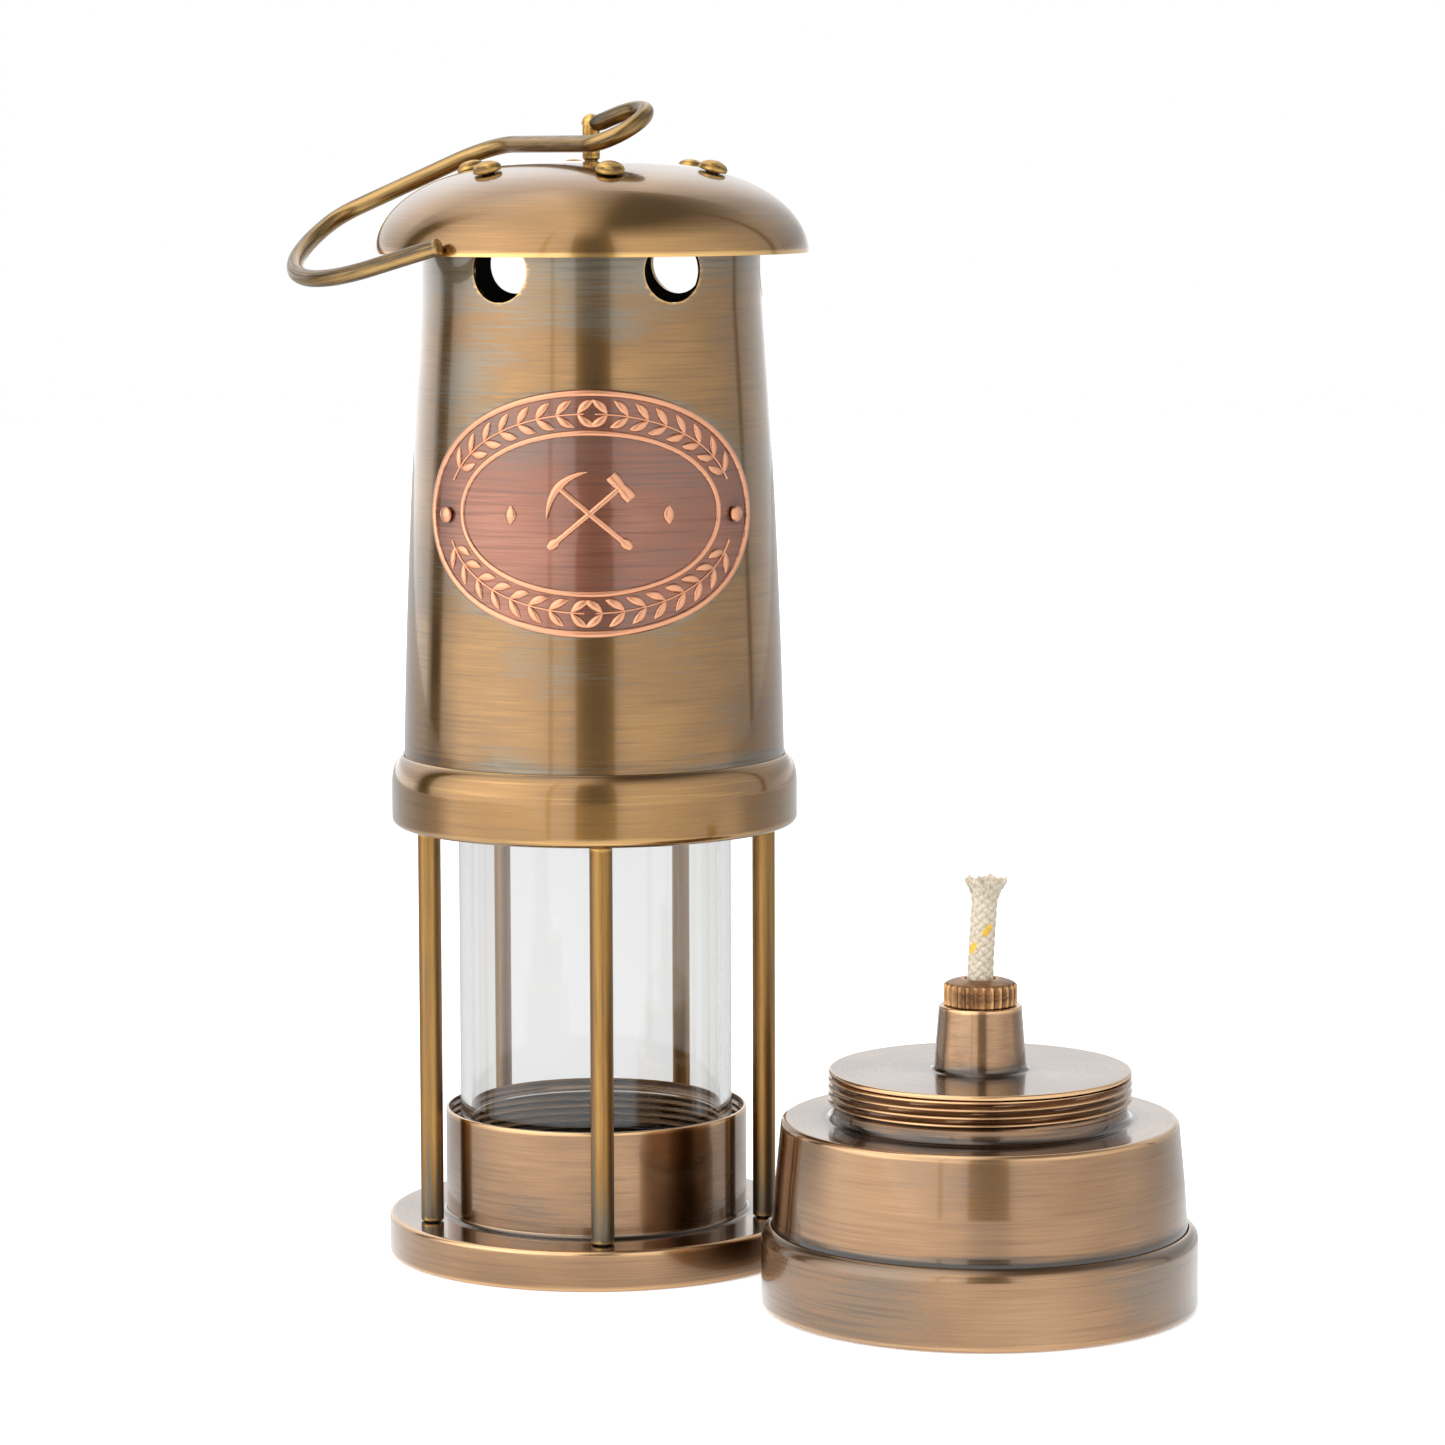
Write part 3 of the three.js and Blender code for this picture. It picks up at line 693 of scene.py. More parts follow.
def crown_ring():
    low, high = heights("crown_ring")
    rim = radius_of("crown_ring")
    plate = low + 3.0
    bore = BONNET_FOOT_RADIUS + 0.08
    hole = radius_of("glass_chimney") + 0.4
    outline = [
        (hole, low),
        *arc(rim - 1.9, low + 1.6, 1.9, 1.6, -90, 0, 12),
        *arc(rim - 3.05, high - 5.8, 3.05, 6.0, 0, 70, 16),
        (bore + 0.25, high),
        (bore, high - 0.2),
        (bore, plate),
        (hole, plate),
    ]
    cutters = []
    for name in PILLARS:
        r, angle = polar(name)
        cutters.append(drum(TENON + GAP, low - 2, plate + 2, turned(HERE, r, angle), 32))

    def paint(x, y, z):
        lip = bell(z - high, 0.8)
        # Painted highlight: a thin lighter line round the outside, 5.2 mm below the top, where the
        # rounded top meets the upright band.
        shoulder_highlight = bell((z - (high - 5.2)), 0.5) * (np.hypot(x, y) > rim - 1)
        return 0.12 * shoulder_highlight - 1.1 * lip, 0.25 * lip

    lathe("crown_ring", outline, CROWN, cutters=cutters, paint=paint)


def glass_chimney():
    low, high = heights("glass_chimney")
    outer = radius_of("glass_chimney")
    middle = (outer + GLASS_BORE) / 2
    half = (outer - GLASS_BORE) / 2
    outline = [
        *arc(middle, low + half, half, half, 180, 360, 14),
        *arc(middle, high - half, half, half, 0, 180, 14),
    ]
    lathe("glass_chimney", outline, GLASS, segments=200)


def glass_ring():
    low, high = heights("glass_retaining_ring")
    outer = radius_of("glass_retaining_ring")
    hole = radius_of("glass_chimney") + 0.6
    seat_height = high - 1.6
    outline = [
        (hole, low), (outer, low), (outer, high - 0.4),
        *arc(outer - 0.4, high - 0.4, 0.4, 0.4, 0, 90, 4)[1:],
        (24.6, high), (24.6, seat_height), (hole, seat_height),
    ]
    lathe("glass_retaining_ring", outline, BRASS, segments=120)


def gasket():
    low, high = heights("glass_gasket")
    outer = radius_of("glass_gasket")
    outline = [
        (25.0, low), (outer, low), (outer, high - 0.2),
        (outer - 0.2, high), (25.2, high), (25.0, high - 0.2),
    ]
    lathe("glass_gasket", outline, FIBRE, segments=120)


crown_ring()
glass_chimney()
glass_ring()
gasket()

# ---------------------------------------------------------------- bonnet, inner cap and dome

PLATE_RIVETS = ["nameplate_rivet_left", "nameplate_rivet_right"]
DOME_RIVETS = [f"dome_rivet_{i}" for i in range(1, 7)]
PLATE_MIDDLE = middle_height("nameplate")
PLATE_AZIMUTH = polar("nameplate")[1]
PLATE_HALF_HEIGHT = (heights("nameplate")[1] - heights("nameplate")[0]) / 2
PLATE_HALF_WIDTH = 35.8


def on_bonnet(height, angle):
    return turned(HERE, float(bonnet_radius(height)), angle, height, math.pi / 2)


def bonnet():
    low, high = heights("bonnet")
    steps = [low, 95, 99, *np.arange(101, 193, 1.0), *np.arange(193.5, 209.5, 0.5), 211, high]
    outside = [(float(bonnet_radius(z)), z) for z in steps]
    inside = [(r - BONNET_WALL, z) for r, z in outside[::-4]]
    vents = [math.radians(VENT_START + 60 * i) for i in range(VENTS)]
    cutters = [drum(VENT_RADIUS, -8, 8, on_bonnet(VENT_HEIGHT, angle), 72) for angle in vents]
    for name in PLATE_RIVETS:
        height = middle_height(name)
        cutters.append(drum(PLATE_RIVET_HOLE, -5, 5, on_bonnet(height, polar(name)[1]), 24))

    def paint(x, y, z):
        r = np.hypot(x, y)
        turn = np.arctan2(y, x)
        wear_and_painted_light = np.zeros(len(x))
        for angle in vents:
            across = r * np.sin(turn - angle)
            front = np.cos(turn - angle) > 0
            away = np.hypot(across, z - VENT_HEIGHT) - VENT_RADIUS
            wear_and_painted_light += 0.9 * bell(away, 0.4) * front
        round_plate = wrapped(turn - PLATE_AZIMUTH) * PLATE_BEND
        oval = np.hypot(round_plate / PLATE_HALF_WIDTH, (z - PLATE_MIDDLE) / PLATE_HALF_HEIGHT)
        halo = bell(np.maximum(0, oval - 0.97), 0.05)
        # Partly patina and partly painted shade: top paints the bonnet darker from 196 mm up, under
        # the dome's overhang.
        top = np.clip((z - 196) / 12, 0, 1)
        high_up = np.clip((z - 160) / 40, 0, 1)
        foot = bell(np.maximum(0, z - 102.6), 2.2)
        wear_and_painted_light -= 0.35 * halo + 0.45 * foot + 0.3 * top
        return wear_and_painted_light, 0.5 * halo + 0.3 * top + 0.2 * high_up + 0.35 * foot

    lathe("bonnet", outside + inside, BRASS, cutters=cutters, paint=paint, inner=SOOT, segments=216,
          near_corner=())


def inner_cap():
    skirt = radius_of("bonnet_inner_cap")
    low = heights("bonnet_inner_cap")[0]
    crown = [(r, dome_height(r, DOME_WALL) - GAP) for r in np.linspace(29.8, 22, 9)]
    outline = [
        (skirt, low), (skirt, 212.8), *crown,
        *[(r - 0.1, z - 1.0) for r, z in reversed(crown)],
        (skirt - 1.1, 212.2), (skirt - 1.1, low),
    ]
    lathe("bonnet_inner_cap", outline, SOOT, cutters=dome_rivet_holes(), segments=120)


def on_dome(name):
    r = DOME_RIVET_CIRCLE
    return turned(HERE, r, polar(name)[1], dome_height(r), dome_tilt(r))


def dome_rivet_holes():
    return [drum(DOME_RIVET_HOLE, -7, 5, on_dome(name), 24) for name in DOME_RIVETS]


def dome():
    reach = [1 - t**2.2 for t in np.linspace(0, 0.975, 52)]
    hole = 1.65
    core = DOME_RADIUS - DOME_WALL
    outside = [(DOME_RADIUS * k, dome_height(DOME_RADIUS * k)) for k in reach]
    inside = [(core * k, dome_height(core * k, DOME_WALL)) for k in reversed(reach)]
    lip = [(DOME_RADIUS - DOME_WALL * 0.7, DOME_RIM), (DOME_RADIUS - DOME_WALL * 0.3, DOME_RIM)]
    outline = [
        *outside, (hole, dome_height(hole)), (hole, dome_height(hole, DOME_WALL)), *inside, *lip,
    ]

    def paint(x, y, z):
        under = np.zeros(len(x))
        for name in DOME_RIVETS:
            r, angle = DOME_RIVET_CIRCLE, polar(name)[1]
            away = np.hypot(x - r * math.cos(angle), y - r * math.sin(angle))
            under += bell(away, 3.4, 4)
        rim = np.clip(1 - (z - DOME_RIM) / 0.9, 0, 1)
        return 0.7 * rim - 0.9 * under, 0.3 * under

    lathe("dome_hood", outline, CROWN, cutters=dome_rivet_holes(), paint=paint)


def dome_rivet(name):
    outline = [
        (0, -4.0), (1.8, -4.0), *arc(1.6, -3.5, 0.5, 0.5, -90, 60, 5), (1.3, -3.0), (1.3, GAP),
        (2.75, GAP), *arc(0, 0.75, 2.9, 1.6, -12, 84, 14), (0, 2.35),
    ]
    place = ON_LAMP @ on_dome(name)

    def paint(x, y, z):
        edge = np.clip((np.hypot(x, y) - 2.2) / 0.6, 0, 1)
        return 0.25 - 1.0 * edge, 0.5 * edge

    lathe(name, outline, RIVET, place=place, closed=False, segments=48, paint=paint)


bonnet()
inner_cap()
dome()
for rivet_node in DOME_RIVETS:
    dome_rivet(rivet_node)

# ---------------------------------------------------------------- nameplate

PLATE_THICKNESS = 0.8
CROSS_SECTION = [
    (-1, -0.35), (-1, 0.0), (-0.84, 0.55), (-0.45, 0.9), (0, 1.0),
    (0.45, 0.9), (0.84, 0.55), (1, 0.0), (1, -0.35),
]  # of a raised line, as shares of its half width and height


def onto_bonnet(u, v, lift):
    """A point of the flat plate, u across and v up from its middle, bent round the bonnet."""
    z = PLATE_MIDDLE + v
    angle = PLATE_AZIMUTH + u / bonnet_radius(PLATE_MIDDLE)
    r = bonnet_radius(z) + GAP + lift
    return np.stack([r * np.cos(angle), r * np.sin(angle), z * np.ones_like(angle)], -1)


def raised(path, half_width, height, closed=False):
    """Vertices, faces and crest values of a rounded raised line along a flat path."""
    path = np.array(path, float)
    count = len(path)
    if closed:
        heading = np.roll(path, -1, 0) - np.roll(path, 1, 0)
    else:
        heading = np.gradient(path, axis=0)
    heading /= np.linalg.norm(heading, axis=1)[:, None]
    normal = np.stack([-heading[:, 1], heading[:, 0]], 1)
    widths = np.broadcast_to(half_width, count)
    tall = np.broadcast_to(height, count)
    across = np.array([c[0] for c in CROSS_SECTION])
    up = np.array([c[1] for c in CROSS_SECTION])
    u = path[:, :1] + normal[:, :1] * widths[:, None] * across[None, :]
    v = path[:, 1:] + normal[:, 1:] * widths[:, None] * across[None, :]
    lift = PLATE_THICKNESS + np.where(up > 0, up[None, :] * tall[:, None], up[None, :] * 0.8)
    verts = onto_bonnet(u, v, lift).reshape(-1, 3)
    sides = len(across)
    faces = strips(count, sides, closed, caps=not closed)
    crest = np.broadcast_to(np.clip(up * 1.5, -0.8, 1.2)[None, :], (count, sides)).ravel()
    return verts, faces, crest


def ellipse(half_u, half_v, start=0.0, end=360.0, count=220):
    turns = np.radians(np.linspace(start, end, count, endpoint=end - start < 360))
    return np.stack([half_u * np.cos(turns), half_v * np.sin(turns)], 1)


def leaf(at, direction, length=4.3, width=0.92, bend=0.35):
    """A small raised leaf that starts at a point and points along a direction, in radians."""
    t = np.linspace(0.02, 0.98, 9)
    heading = np.array([math.cos(direction), math.sin(direction)])
    sideways = np.array([-heading[1], heading[0]])
    path = at + heading * (t * length)[:, None] + sideways * (bend * np.sin(np.pi * t))[:, None]
    return raised(path, width * np.sin(np.pi * t) ** 0.75, 0.5 * np.sin(np.pi * t) ** 0.4)


def wreath(half_u, half_v, start, end, mirror):
    """A stem with pairs of leaves along part of an oval."""
    parts = []
    line = ellipse(half_u, half_v, start, end, 90)
    parts.append(raised(line, 0.24, 0.3))
    steps = np.linalg.norm(np.diff(line, axis=0), axis=1)
    along = np.concatenate([[0], np.cumsum(steps)])
    for mark in np.arange(1.2, along[-1] - 2.5, 4.1):
        i = int(np.searchsorted(along, mark))
        i = min(max(i, 1), len(line) - 2)
        ahead = (line[i + 1] - line[i - 1]) * mirror
        heading = math.atan2(ahead[1], ahead[0])
        for side in (-1, 1):
            parts.append(leaf(line[i], heading + side * math.radians(38), bend=0.3 * side))
    return parts


def crossed_tools():
    """A hammer and a pick, crossed: the map sign for a mine."""
    parts = []
    for side in (-1, 1):
        foot = np.array([-7.4 * side, -6.4])
        head = np.array([6.3 * side, 5.4])
        t = np.linspace(0, 1, 24)[:, None]
        parts.append(raised(foot + (head - foot) * t, 0.62, 0.5))
        grip = foot + (head - foot) * np.linspace(-0.03, 0.1, 6)[:, None]
        parts.append(raised(grip, np.array([0.62, 0.9, 1.05, 1.05, 0.9, 0.62]), 0.55))
    lean = math.atan2(11.8, 13.7)
    across = np.array([math.cos(lean - math.pi / 2), math.sin(lean - math.pi / 2)])
    hammer = np.array([6.0, 5.15]) + across * np.linspace(-3.0, 3.0, 9)[:, None]
    parts.append(raised(hammer, np.array([1.25, 1.35, 1.35, 1.15, 1.1, 1.15, 1.35, 1.35, 1.25]), 0.65))
    t = np.linspace(-1, 1, 27)
    across = np.array([-across[0], across[1]])
    inward = np.array([math.cos(lean), -math.sin(lean)])
    pick = np.array([-6.0, 5.15]) + across * (6.0 * t)[:, None] + inward * (2.3 * t**2)[:, None]
    parts.append(raised(pick, 0.12 + 0.85 * (1 - np.abs(t)) ** 0.6, 0.62))
    return parts


def plate_blank():
    spokes = 240
    shares = np.array([
        0, 0.15, 0.3, 0.42, 0.52, 0.6, 0.68, 0.73, 0.78, 0.83, 0.88, 0.92, 0.95, 0.97, 0.985, 1.0,
    ])
    lifts = np.where(shares > 0.99, PLATE_THICKNESS - 0.25, PLATE_THICKNESS)
    turns = np.linspace(0, 2 * np.pi, spokes, endpoint=False)
    layers = [*zip(shares[1:], lifts[1:]), *[(k, 0.0) for k in shares[:0:-1]]]
    verts = []
    for share, lift in layers:
        u = share * PLATE_HALF_WIDTH * np.cos(turns)
        v = share * PLATE_HALF_HEIGHT * np.sin(turns)
        verts.extend(onto_bonnet(u, v, lift))
    faces = strips(len(layers), spokes)
    middle = np.zeros(1)
    verts.extend(onto_bonnet(middle, middle, PLATE_THICKNESS))
    verts.extend(onto_bonnet(middle, middle, 0.0))
    front, back = len(verts) - 2, len(verts) - 1
    last = (len(layers) - 1) * spokes
    for j in range(spokes):
        k = (j + 1) % spokes
        faces.append((front, k, j))
        faces.append((back, last + j, last + k))
    return np.array(verts), faces, np.full(len(verts), -0.12)


def nameplate():
    rivets = [polar(name)[1] for name in PLATE_RIVETS]
    spread_angle = abs(rivets[1] - rivets[0]) / 2
    rivet_height = middle_height(PLATE_RIVETS[0])
    inner_u, inner_v = 26.8, 15.75
    band_u = (PLATE_HALF_WIDTH - 1.1 + inner_u) / 2
    band_v = (PLATE_HALF_HEIGHT - 1.1 + inner_v) / 2
    parts = [plate_blank()]
    parts.append(raised(ellipse(PLATE_HALF_WIDTH - 0.72, PLATE_HALF_HEIGHT - 0.72), 0.7, 0.5, True))
    parts.append(raised(ellipse(inner_u, inner_v), 0.6, 0.45, True))
    parts += wreath(band_u, band_v, 18, 88, 1) + wreath(band_u, band_v, 92, 162, -1)
    parts += wreath(band_u, band_v, 198, 268, 1) + wreath(band_u, band_v, 272, 342, -1)
    parts += crossed_tools()
    for side in (-1, 1):
        dot = np.array([side * 15.5, -0.4])
        parts.append(leaf(dot - (0, 1.9), math.pi / 2, 3.8, 1.2, 0))
    verts, faces, crest = [], [], []
    for part_verts, part_faces, part_crest in parts:
        start = len(verts)
        verts.extend(part_verts)
        faces.extend(tuple(start + i for i in face) for face in part_faces)
        crest.extend(part_crest)
    obj = mesh_object("nameplate_finish", verts, faces)
    co = co_of(obj)
    turn = np.arctan2(co[:, 1], co[:, 0])
    u = wrapped(turn - PLATE_AZIMUTH) * PLATE_BEND
    v = co[:, 2] - PLATE_MIDDLE
    set_vector(obj, "grain", np.stack([np.cos(turn), np.sin(turn), co[:, 2]], 1))
    dark = np.zeros(len(co))
    for angle in (-spread_angle, spread_angle):
        away = np.hypot(u - angle * PLATE_BEND, v + PLATE_MIDDLE - rivet_height)
        dark += bell(away, 2.3)
    flat = np.array(crest) < 0
    set_scalar(obj, "wear_and_painted_light", np.array(crest) - 0.9 * dark * flat)
    set_scalar(obj, "patina_and_painted_shade", 0.1 * flat)
    obj.data.transform(ON_LAMP)
    shade(obj, 50)
    finish(obj, "nameplate", [COPPER])


def plate_rivet(name):
    base = PLATE_THICKNESS + GAP + 0.15
    outline = [
        (0, -2.0), (1.4, -2.0), (1.6, -1.6), (1.5, -1.2), (0.95, -1.2), (0.95, base),
        (1.5, base), *arc(0, base + 0.4, 1.6, 0.7, -10, 84, 10), (0, base + 1.1),
    ]
    height = middle_height(name)

    def paint(x, y, z):
        return 0.9 - 1.4 * np.clip((np.hypot(x, y) - 1.2) / 0.4, 0, 1), np.zeros(len(x))

    place = ON_LAMP @ on_bonnet(height, polar(name)[1])
    lathe(name, outline, COPPER, place=place, closed=False, segments=32, paint=paint)


nameplate()
for rivet_node in PLATE_RIVETS:
    plate_rivet(rivet_node)

# ---------------------------------------------------------------- swivel post and hook

POST_RADIUS = 1.75
HOOK_JOINT = next(j for j in frame["joints"] if j["name"] == "hook_raise")
HOOK_PIVOT = HOOK_JOINT["pos_m"][2] / MM
PIVOT_DIRECTION = -np.array(HOOK_JOINT["axis"])
HOOK_TILT = math.radians(28.95)
HOOK_WIRE = 1.7
HOOK_STUB = 0.85
DOWNHILL = np.cross(PIVOT_DIRECTION, (0, 0, 1.0))
DOWNHILL *= -1 if DOWNHILL[0] > 0 else 1
SLOPE_DIRECTION = DOWNHILL * math.cos(HOOK_TILT) + np.array([0, 0, -math.sin(HOOK_TILT)])

# The hook's centre line from eye to cut end: (length, 0) is straight, (radius, degrees) a bend.
HOOK_BENDS = [
    (2.2, -54), (2.0, 0), (7.5, 145.5), (6.54, 88), (30.27, 0),
    (15.8, -57.5), (22.0, 0), (8.8, -51.5), (31.0, -103.5), (16.0, 0),
]


def hook_line():
    start = POST_RADIUS + GAP
    x, y, heading = start, 0.0, 0.0
    points = [(x, y)]
    for size, turn in HOOK_BENDS:
        length = size if turn == 0 else size * math.radians(abs(turn))
        steps = max(2, round(length / 0.8))
        bend = math.radians(turn) / steps
        for _ in range(steps):
            heading += bend / 2
            chord = length / steps if turn == 0 else 2 * size * math.sin(abs(bend) / 2)
            x, y = x + chord * math.cos(heading), y + chord * math.sin(heading)
            heading += bend / 2
            points.append((x, y))
    return np.array(points)


def swivel_post():
    low, high = heights("swivel_post")
    under = dome_height(0, DOME_WALL)
    base = DOME_TOP + GAP
    head = POST_RADIUS
    outline = [
        (0, low), (2.3, low), (2.6, low + 0.5), (2.5, under - 1.5), (1.35, under - 1.5), (1.35, base),
        (head - 0.3, base), (head, base + 0.3),
        *arc(0, high - 1.6, head, 1.6, 0, 86, 14), (0, high),
    ]
    bore = drum(HOOK_STUB + GAP, -4, 4, segments=32)
    turn = Vector((0, 0, 1)).rotation_difference(Vector(PIVOT_DIRECTION)).to_matrix().to_4x4()
    bore.data.transform(Matrix.Translation((0, 0, HOOK_PIVOT)) @ turn)

    def paint(x, y, z):
        return 0.3 * (z > base + 1), 0.5 * (z < base + 1)

    lathe("swivel_post", outline, RIVET, closed=False, segments=56, cutters=[bore], paint=paint)


def swivel_washer():
    low, high = heights("swivel_washer")
    outline = [(1.65, low), (4.0, low), (4.2, low + 0.2), (4.2, high), (1.65, high)]
    lathe("swivel_washer", outline, BRASS, segments=56)


def hook():
    flat = hook_line()
    stub = np.array([(x, 0.0) for x in (-POST_RADIUS - 0.6, -1.0, 0.5, POST_RADIUS + 0.05)])
    flat = np.vstack([stub, flat])
    wire = [HOOK_STUB] * len(stub) + [1.45, 1.66] + [HOOK_WIRE] * (len(flat) - len(stub) - 2)
    end = flat[-1] - flat[-2]
    flat = np.vstack([flat, flat[-1] + end / np.linalg.norm(end) * 0.12])
    wire.append(HOOK_WIRE - 0.12)
    line = flat[:, :1] * PIVOT_DIRECTION + flat[:, 1:] * SLOPE_DIRECTION + np.array([0, 0, HOOK_PIVOT])
    verts, faces, along, angle = sweep(line, wire, 28)
    obj = mesh_object("hook_finish", verts, faces)
    grain = np.stack([np.cos(angle) * 1.3, np.sin(angle) * 1.3, along * 0.05], 1)
    set_vector(obj, "grain", grain)
    length = along.max()
    cut_end = bell(along - length, 0.5)
    near_eye = bell(along, 6.0)
    set_scalar(obj, "wear_and_painted_light", 0.7 * cut_end - 0.5 * near_eye)
    set_scalar(obj, "patina_and_painted_shade", 0.25 * near_eye)
    obj.data.transform(ON_LAMP)
    shade(obj, 50)
    finish(obj, "hook", [WIRE])


swivel_post()
swivel_washer()
hook()

# ---------------------------------------------------------------- oil font

SHOULDER = heights("font_shell")[1]
SHELL_RADIUS = 40.6
NECK_ROOT = 28.7
THREAD_RADIUS = radius_of("font_top_plate")
SUNK = 0.05  # how far a fillet's skirt goes into the plate that it runs out on


def font_base_plate():
    low, high = heights("font_base_plate")
    rim = radius_of("font_base_plate")
    outline = [
        (0, low), (6, low), (9, low), (22, low), (rim - 0.3, low), (rim, low + 0.3),
        (rim, high), (0, high),
    ]
    lathe("font_base_plate", outline, BRONZE, place=ON_FONT, closed=False)


def font_band():
    _, high = heights("font_band")
    rim = radius_of("font_band")
    bore = SHELL_RADIUS + 0.08
    outline = [
        (bore, 0),
        *arc(rim - 1.5, 1.5, 1.5, 1.5, -90, 0, 10),
        (rim, 8.5),
        *arc(rim - 2.1, high - 2.6, 2.1, 2.6, 0, 76, 14),
        (bore + 0.15, high),
        (bore, high - 0.3),
    ]

    def paint(x, y, z):
        lip = bell(z - high + 0.3, 0.8)
        # Painted shade: the band is painted darker the further it turns away from its front, the side
        # towards -y that faces the camera, as if its sides lay in shade.
        aside = np.abs(np.arctan2(x, -y) - 0.05)
        side_shade = np.clip((aside - 0.2) / 0.5, 0, 1)
        return -0.5 * lip - 0.12 * side_shade, 0.2 * lip + 0.45 * side_shade

    lathe("font_band", outline, BRONZE, place=ON_FONT, paint=paint)


def font_shell():
    wall = 1.2
    mouth = NECK_ROOT + GAP
    low, high = heights("font_shell")
    band_top = heights("font_band")[1]
    outline = [
        (SHELL_RADIUS - wall, low), (SHELL_RADIUS, low), (SHELL_RADIUS, band_top),
        (SHELL_RADIUS, band_top + 0.7), (40.45, 17.6), (39.9, 25.0),
        *arc(37.75, high - 1.1, 1.1, 1.1, 5, 90, 10),
        (mouth, high), (mouth, high - wall), (37.4, high - wall), (40.45 - wall, 17.6),
    ]

    def paint(x, y, z):
        r = np.hypot(x, y)
        groove = bell(np.maximum(0, z - band_top), 1.7) * (r > 38)
        neck = bell(np.maximum(0, r - mouth), 2.4) * (z > high - 0.5)
        return -1.1 * groove - 0.9 * neck, 0.7 * groove + 0.5 * neck

    lathe("font_shell", outline, BRONZE, place=ON_FONT, paint=paint)


def font_neck():
    low, _ = heights("font_neck")
    inner = 26.8
    lip = SHOULDER - 1.5
    root, crest = THREAD_RADIUS - 0.85, THREAD_RADIUS + 0.1
    high = heights("font_top_plate")[0] - 0.02
    fillet = 1.7
    rows = [(root, z) for z in np.arange(40.1, high - 0.05, 0.14)]
    outline = [
        (inner, low), (31.0, low), (31.0, lip), (NECK_ROOT, lip), (NECK_ROOT, SHOULDER - SUNK),
        (NECK_ROOT + fillet, SHOULDER - SUNK),
        *arc(NECK_ROOT + fillet, SHOULDER + fillet - SUNK, fillet, fillet, -90, -172, 10),
        (NECK_ROOT - 0.05, 39.6), *rows, (root - 0.3, high), (inner, high),
    ]

    def paint(x, y, z):
        r = np.hypot(x, y)
        crests = np.clip((r - root - 0.25) / 0.7, 0, 1)
        smooth = np.clip((40.3 - z) / 1.0, 0, 1)
        skirt = np.exp(-((r - NECK_ROOT - fillet) ** 2) / 0.5) * (z < SHOULDER + 1)
        return np.where(z > 40, -0.45 + 1.15 * crests, -1.1 * skirt) - 0.2 * smooth, 0.2 * smooth

    lathe("font_neck", outline, BRONZE, place=ON_FONT, segments=220, paint=paint, sharp=70,
          warp=helix(39.9, high + 0.6, root, crest, THREAD_PITCH, 0.5))


def font_top_plate():
    low, high = heights("font_top_plate")
    rim = THREAD_RADIUS
    hole = 7.6
    outline = [
        (hole, low), (rim - 0.5, low), (rim - 0.1, low + 0.2),
        *arc(rim - 0.45, high - 0.45, 0.45, 0.45, 0, 90, 6),
        (16, high), (hole, high),
    ]

    def paint(x, y, z):
        r = np.hypot(x, y)
        foot = bell(np.maximum(0, r - 9.8), 1.6)
        return -0.3 * foot - 0.5 * (r > rim - 1.2), 0.25 + 0.4 * foot

    lathe("font_top_plate", outline, BRONZE, place=ON_FONT, paint=paint)


def burner_cone():
    low, high = heights("burner_cone")
    bore = 5.5
    base = heights("font_top_plate")[1] - SUNK
    outline = [
        (bore, low), (7.3, low), (7.3, base), (10.1, base),
        *arc(10.1, base + 1.6, 1.2, 1.6, -90, -172, 10),
        (8.7, 51.3), (8.15, 58.2),
        *arc(7.78, high - 0.35, 0.34, 0.35, 0, 90, 5), (bore, high),
    ]

    def paint(x, y, z):
        foot = np.clip((49.6 - z) / 2.2, 0, 1) * (z > base - 0.1)
        return -0.25 * foot, 0.5 * foot

    lathe("burner_cone", outline, BRONZE, place=ON_FONT, segments=112, paint=paint)


FLUTES = 25
BURNER_PITCH = 1.0


def burner_cap():
    low, high = heights("burner_cap")
    base = heights("burner_cone")[1] + 0.12
    rim = radius_of("burner_cap") + 0.15
    top = high - 0.75
    rows = [(rim, z) for z in np.linspace(base + 0.25, top - 0.1, 7)]
    shank = 5.2
    turns = [(shank, z) for z in np.arange(low + 0.3, base - 0.1, 0.12)]
    thread = helix(low + 0.4, base - 0.3, shank, shank - 0.35, BURNER_PITCH, 0.4)
    outline = [
        (4.0, low), (shank, low), *turns, (shank, base),
        (rim - 0.55, base), (rim - 0.15, base + 0.05), *rows,
        *arc(0, top - 0.25, rim + 0.05, 1.75, 8, 62, 14),
        (3.2, high + 0.52), (3.0, high + 0.3), (3.0, high - 2.4), (4.0, high - 2.4),
    ]

    def warp(r, t, z):
        flute = rim - 0.62 * np.abs(np.sin(t * FLUTES / 2)) ** 0.8
        return np.where(z > base - 0.01, np.minimum(r, np.maximum(flute, 5.3)), thread(r, t, z))

    def paint(x, y, z):
        r = np.hypot(x, y)
        band = (z > base) & (z < top + 0.5) & (r > rim - 0.75)
        crests = np.clip((r - (rim - 0.5)) / 0.45, 0, 1)
        return np.where(band, -0.5 + 1.4 * crests, 0.0), np.where(band, 0.1, -0.15)

    lathe("burner_cap", outline, SATIN_BRONZE, place=ON_FONT, segments=FLUTES * 14, warp=warp,
          paint=paint, sharp=48)


def wick_tube():
    low, high = heights("wick_tube")
    outer = radius_of("wick_tube")
    outline = [(2.95, low), (outer, low), (outer, high), (2.95, high)]
    lathe("wick_tube", outline, BRASS, place=ON_FONT, segments=40)


font_base_plate()
font_band()
font_shell()
font_neck()
font_top_plate()
burner_cone()
burner_cap()
wick_tube()

# ---------------------------------------------------------------- wick

WICK_RADIUS = 2.6
STRANDS = 7
BRAID_STEP = 1.9
FLECKS = [(-137, 70.6), (-70, 74.2)]  # degrees round, height


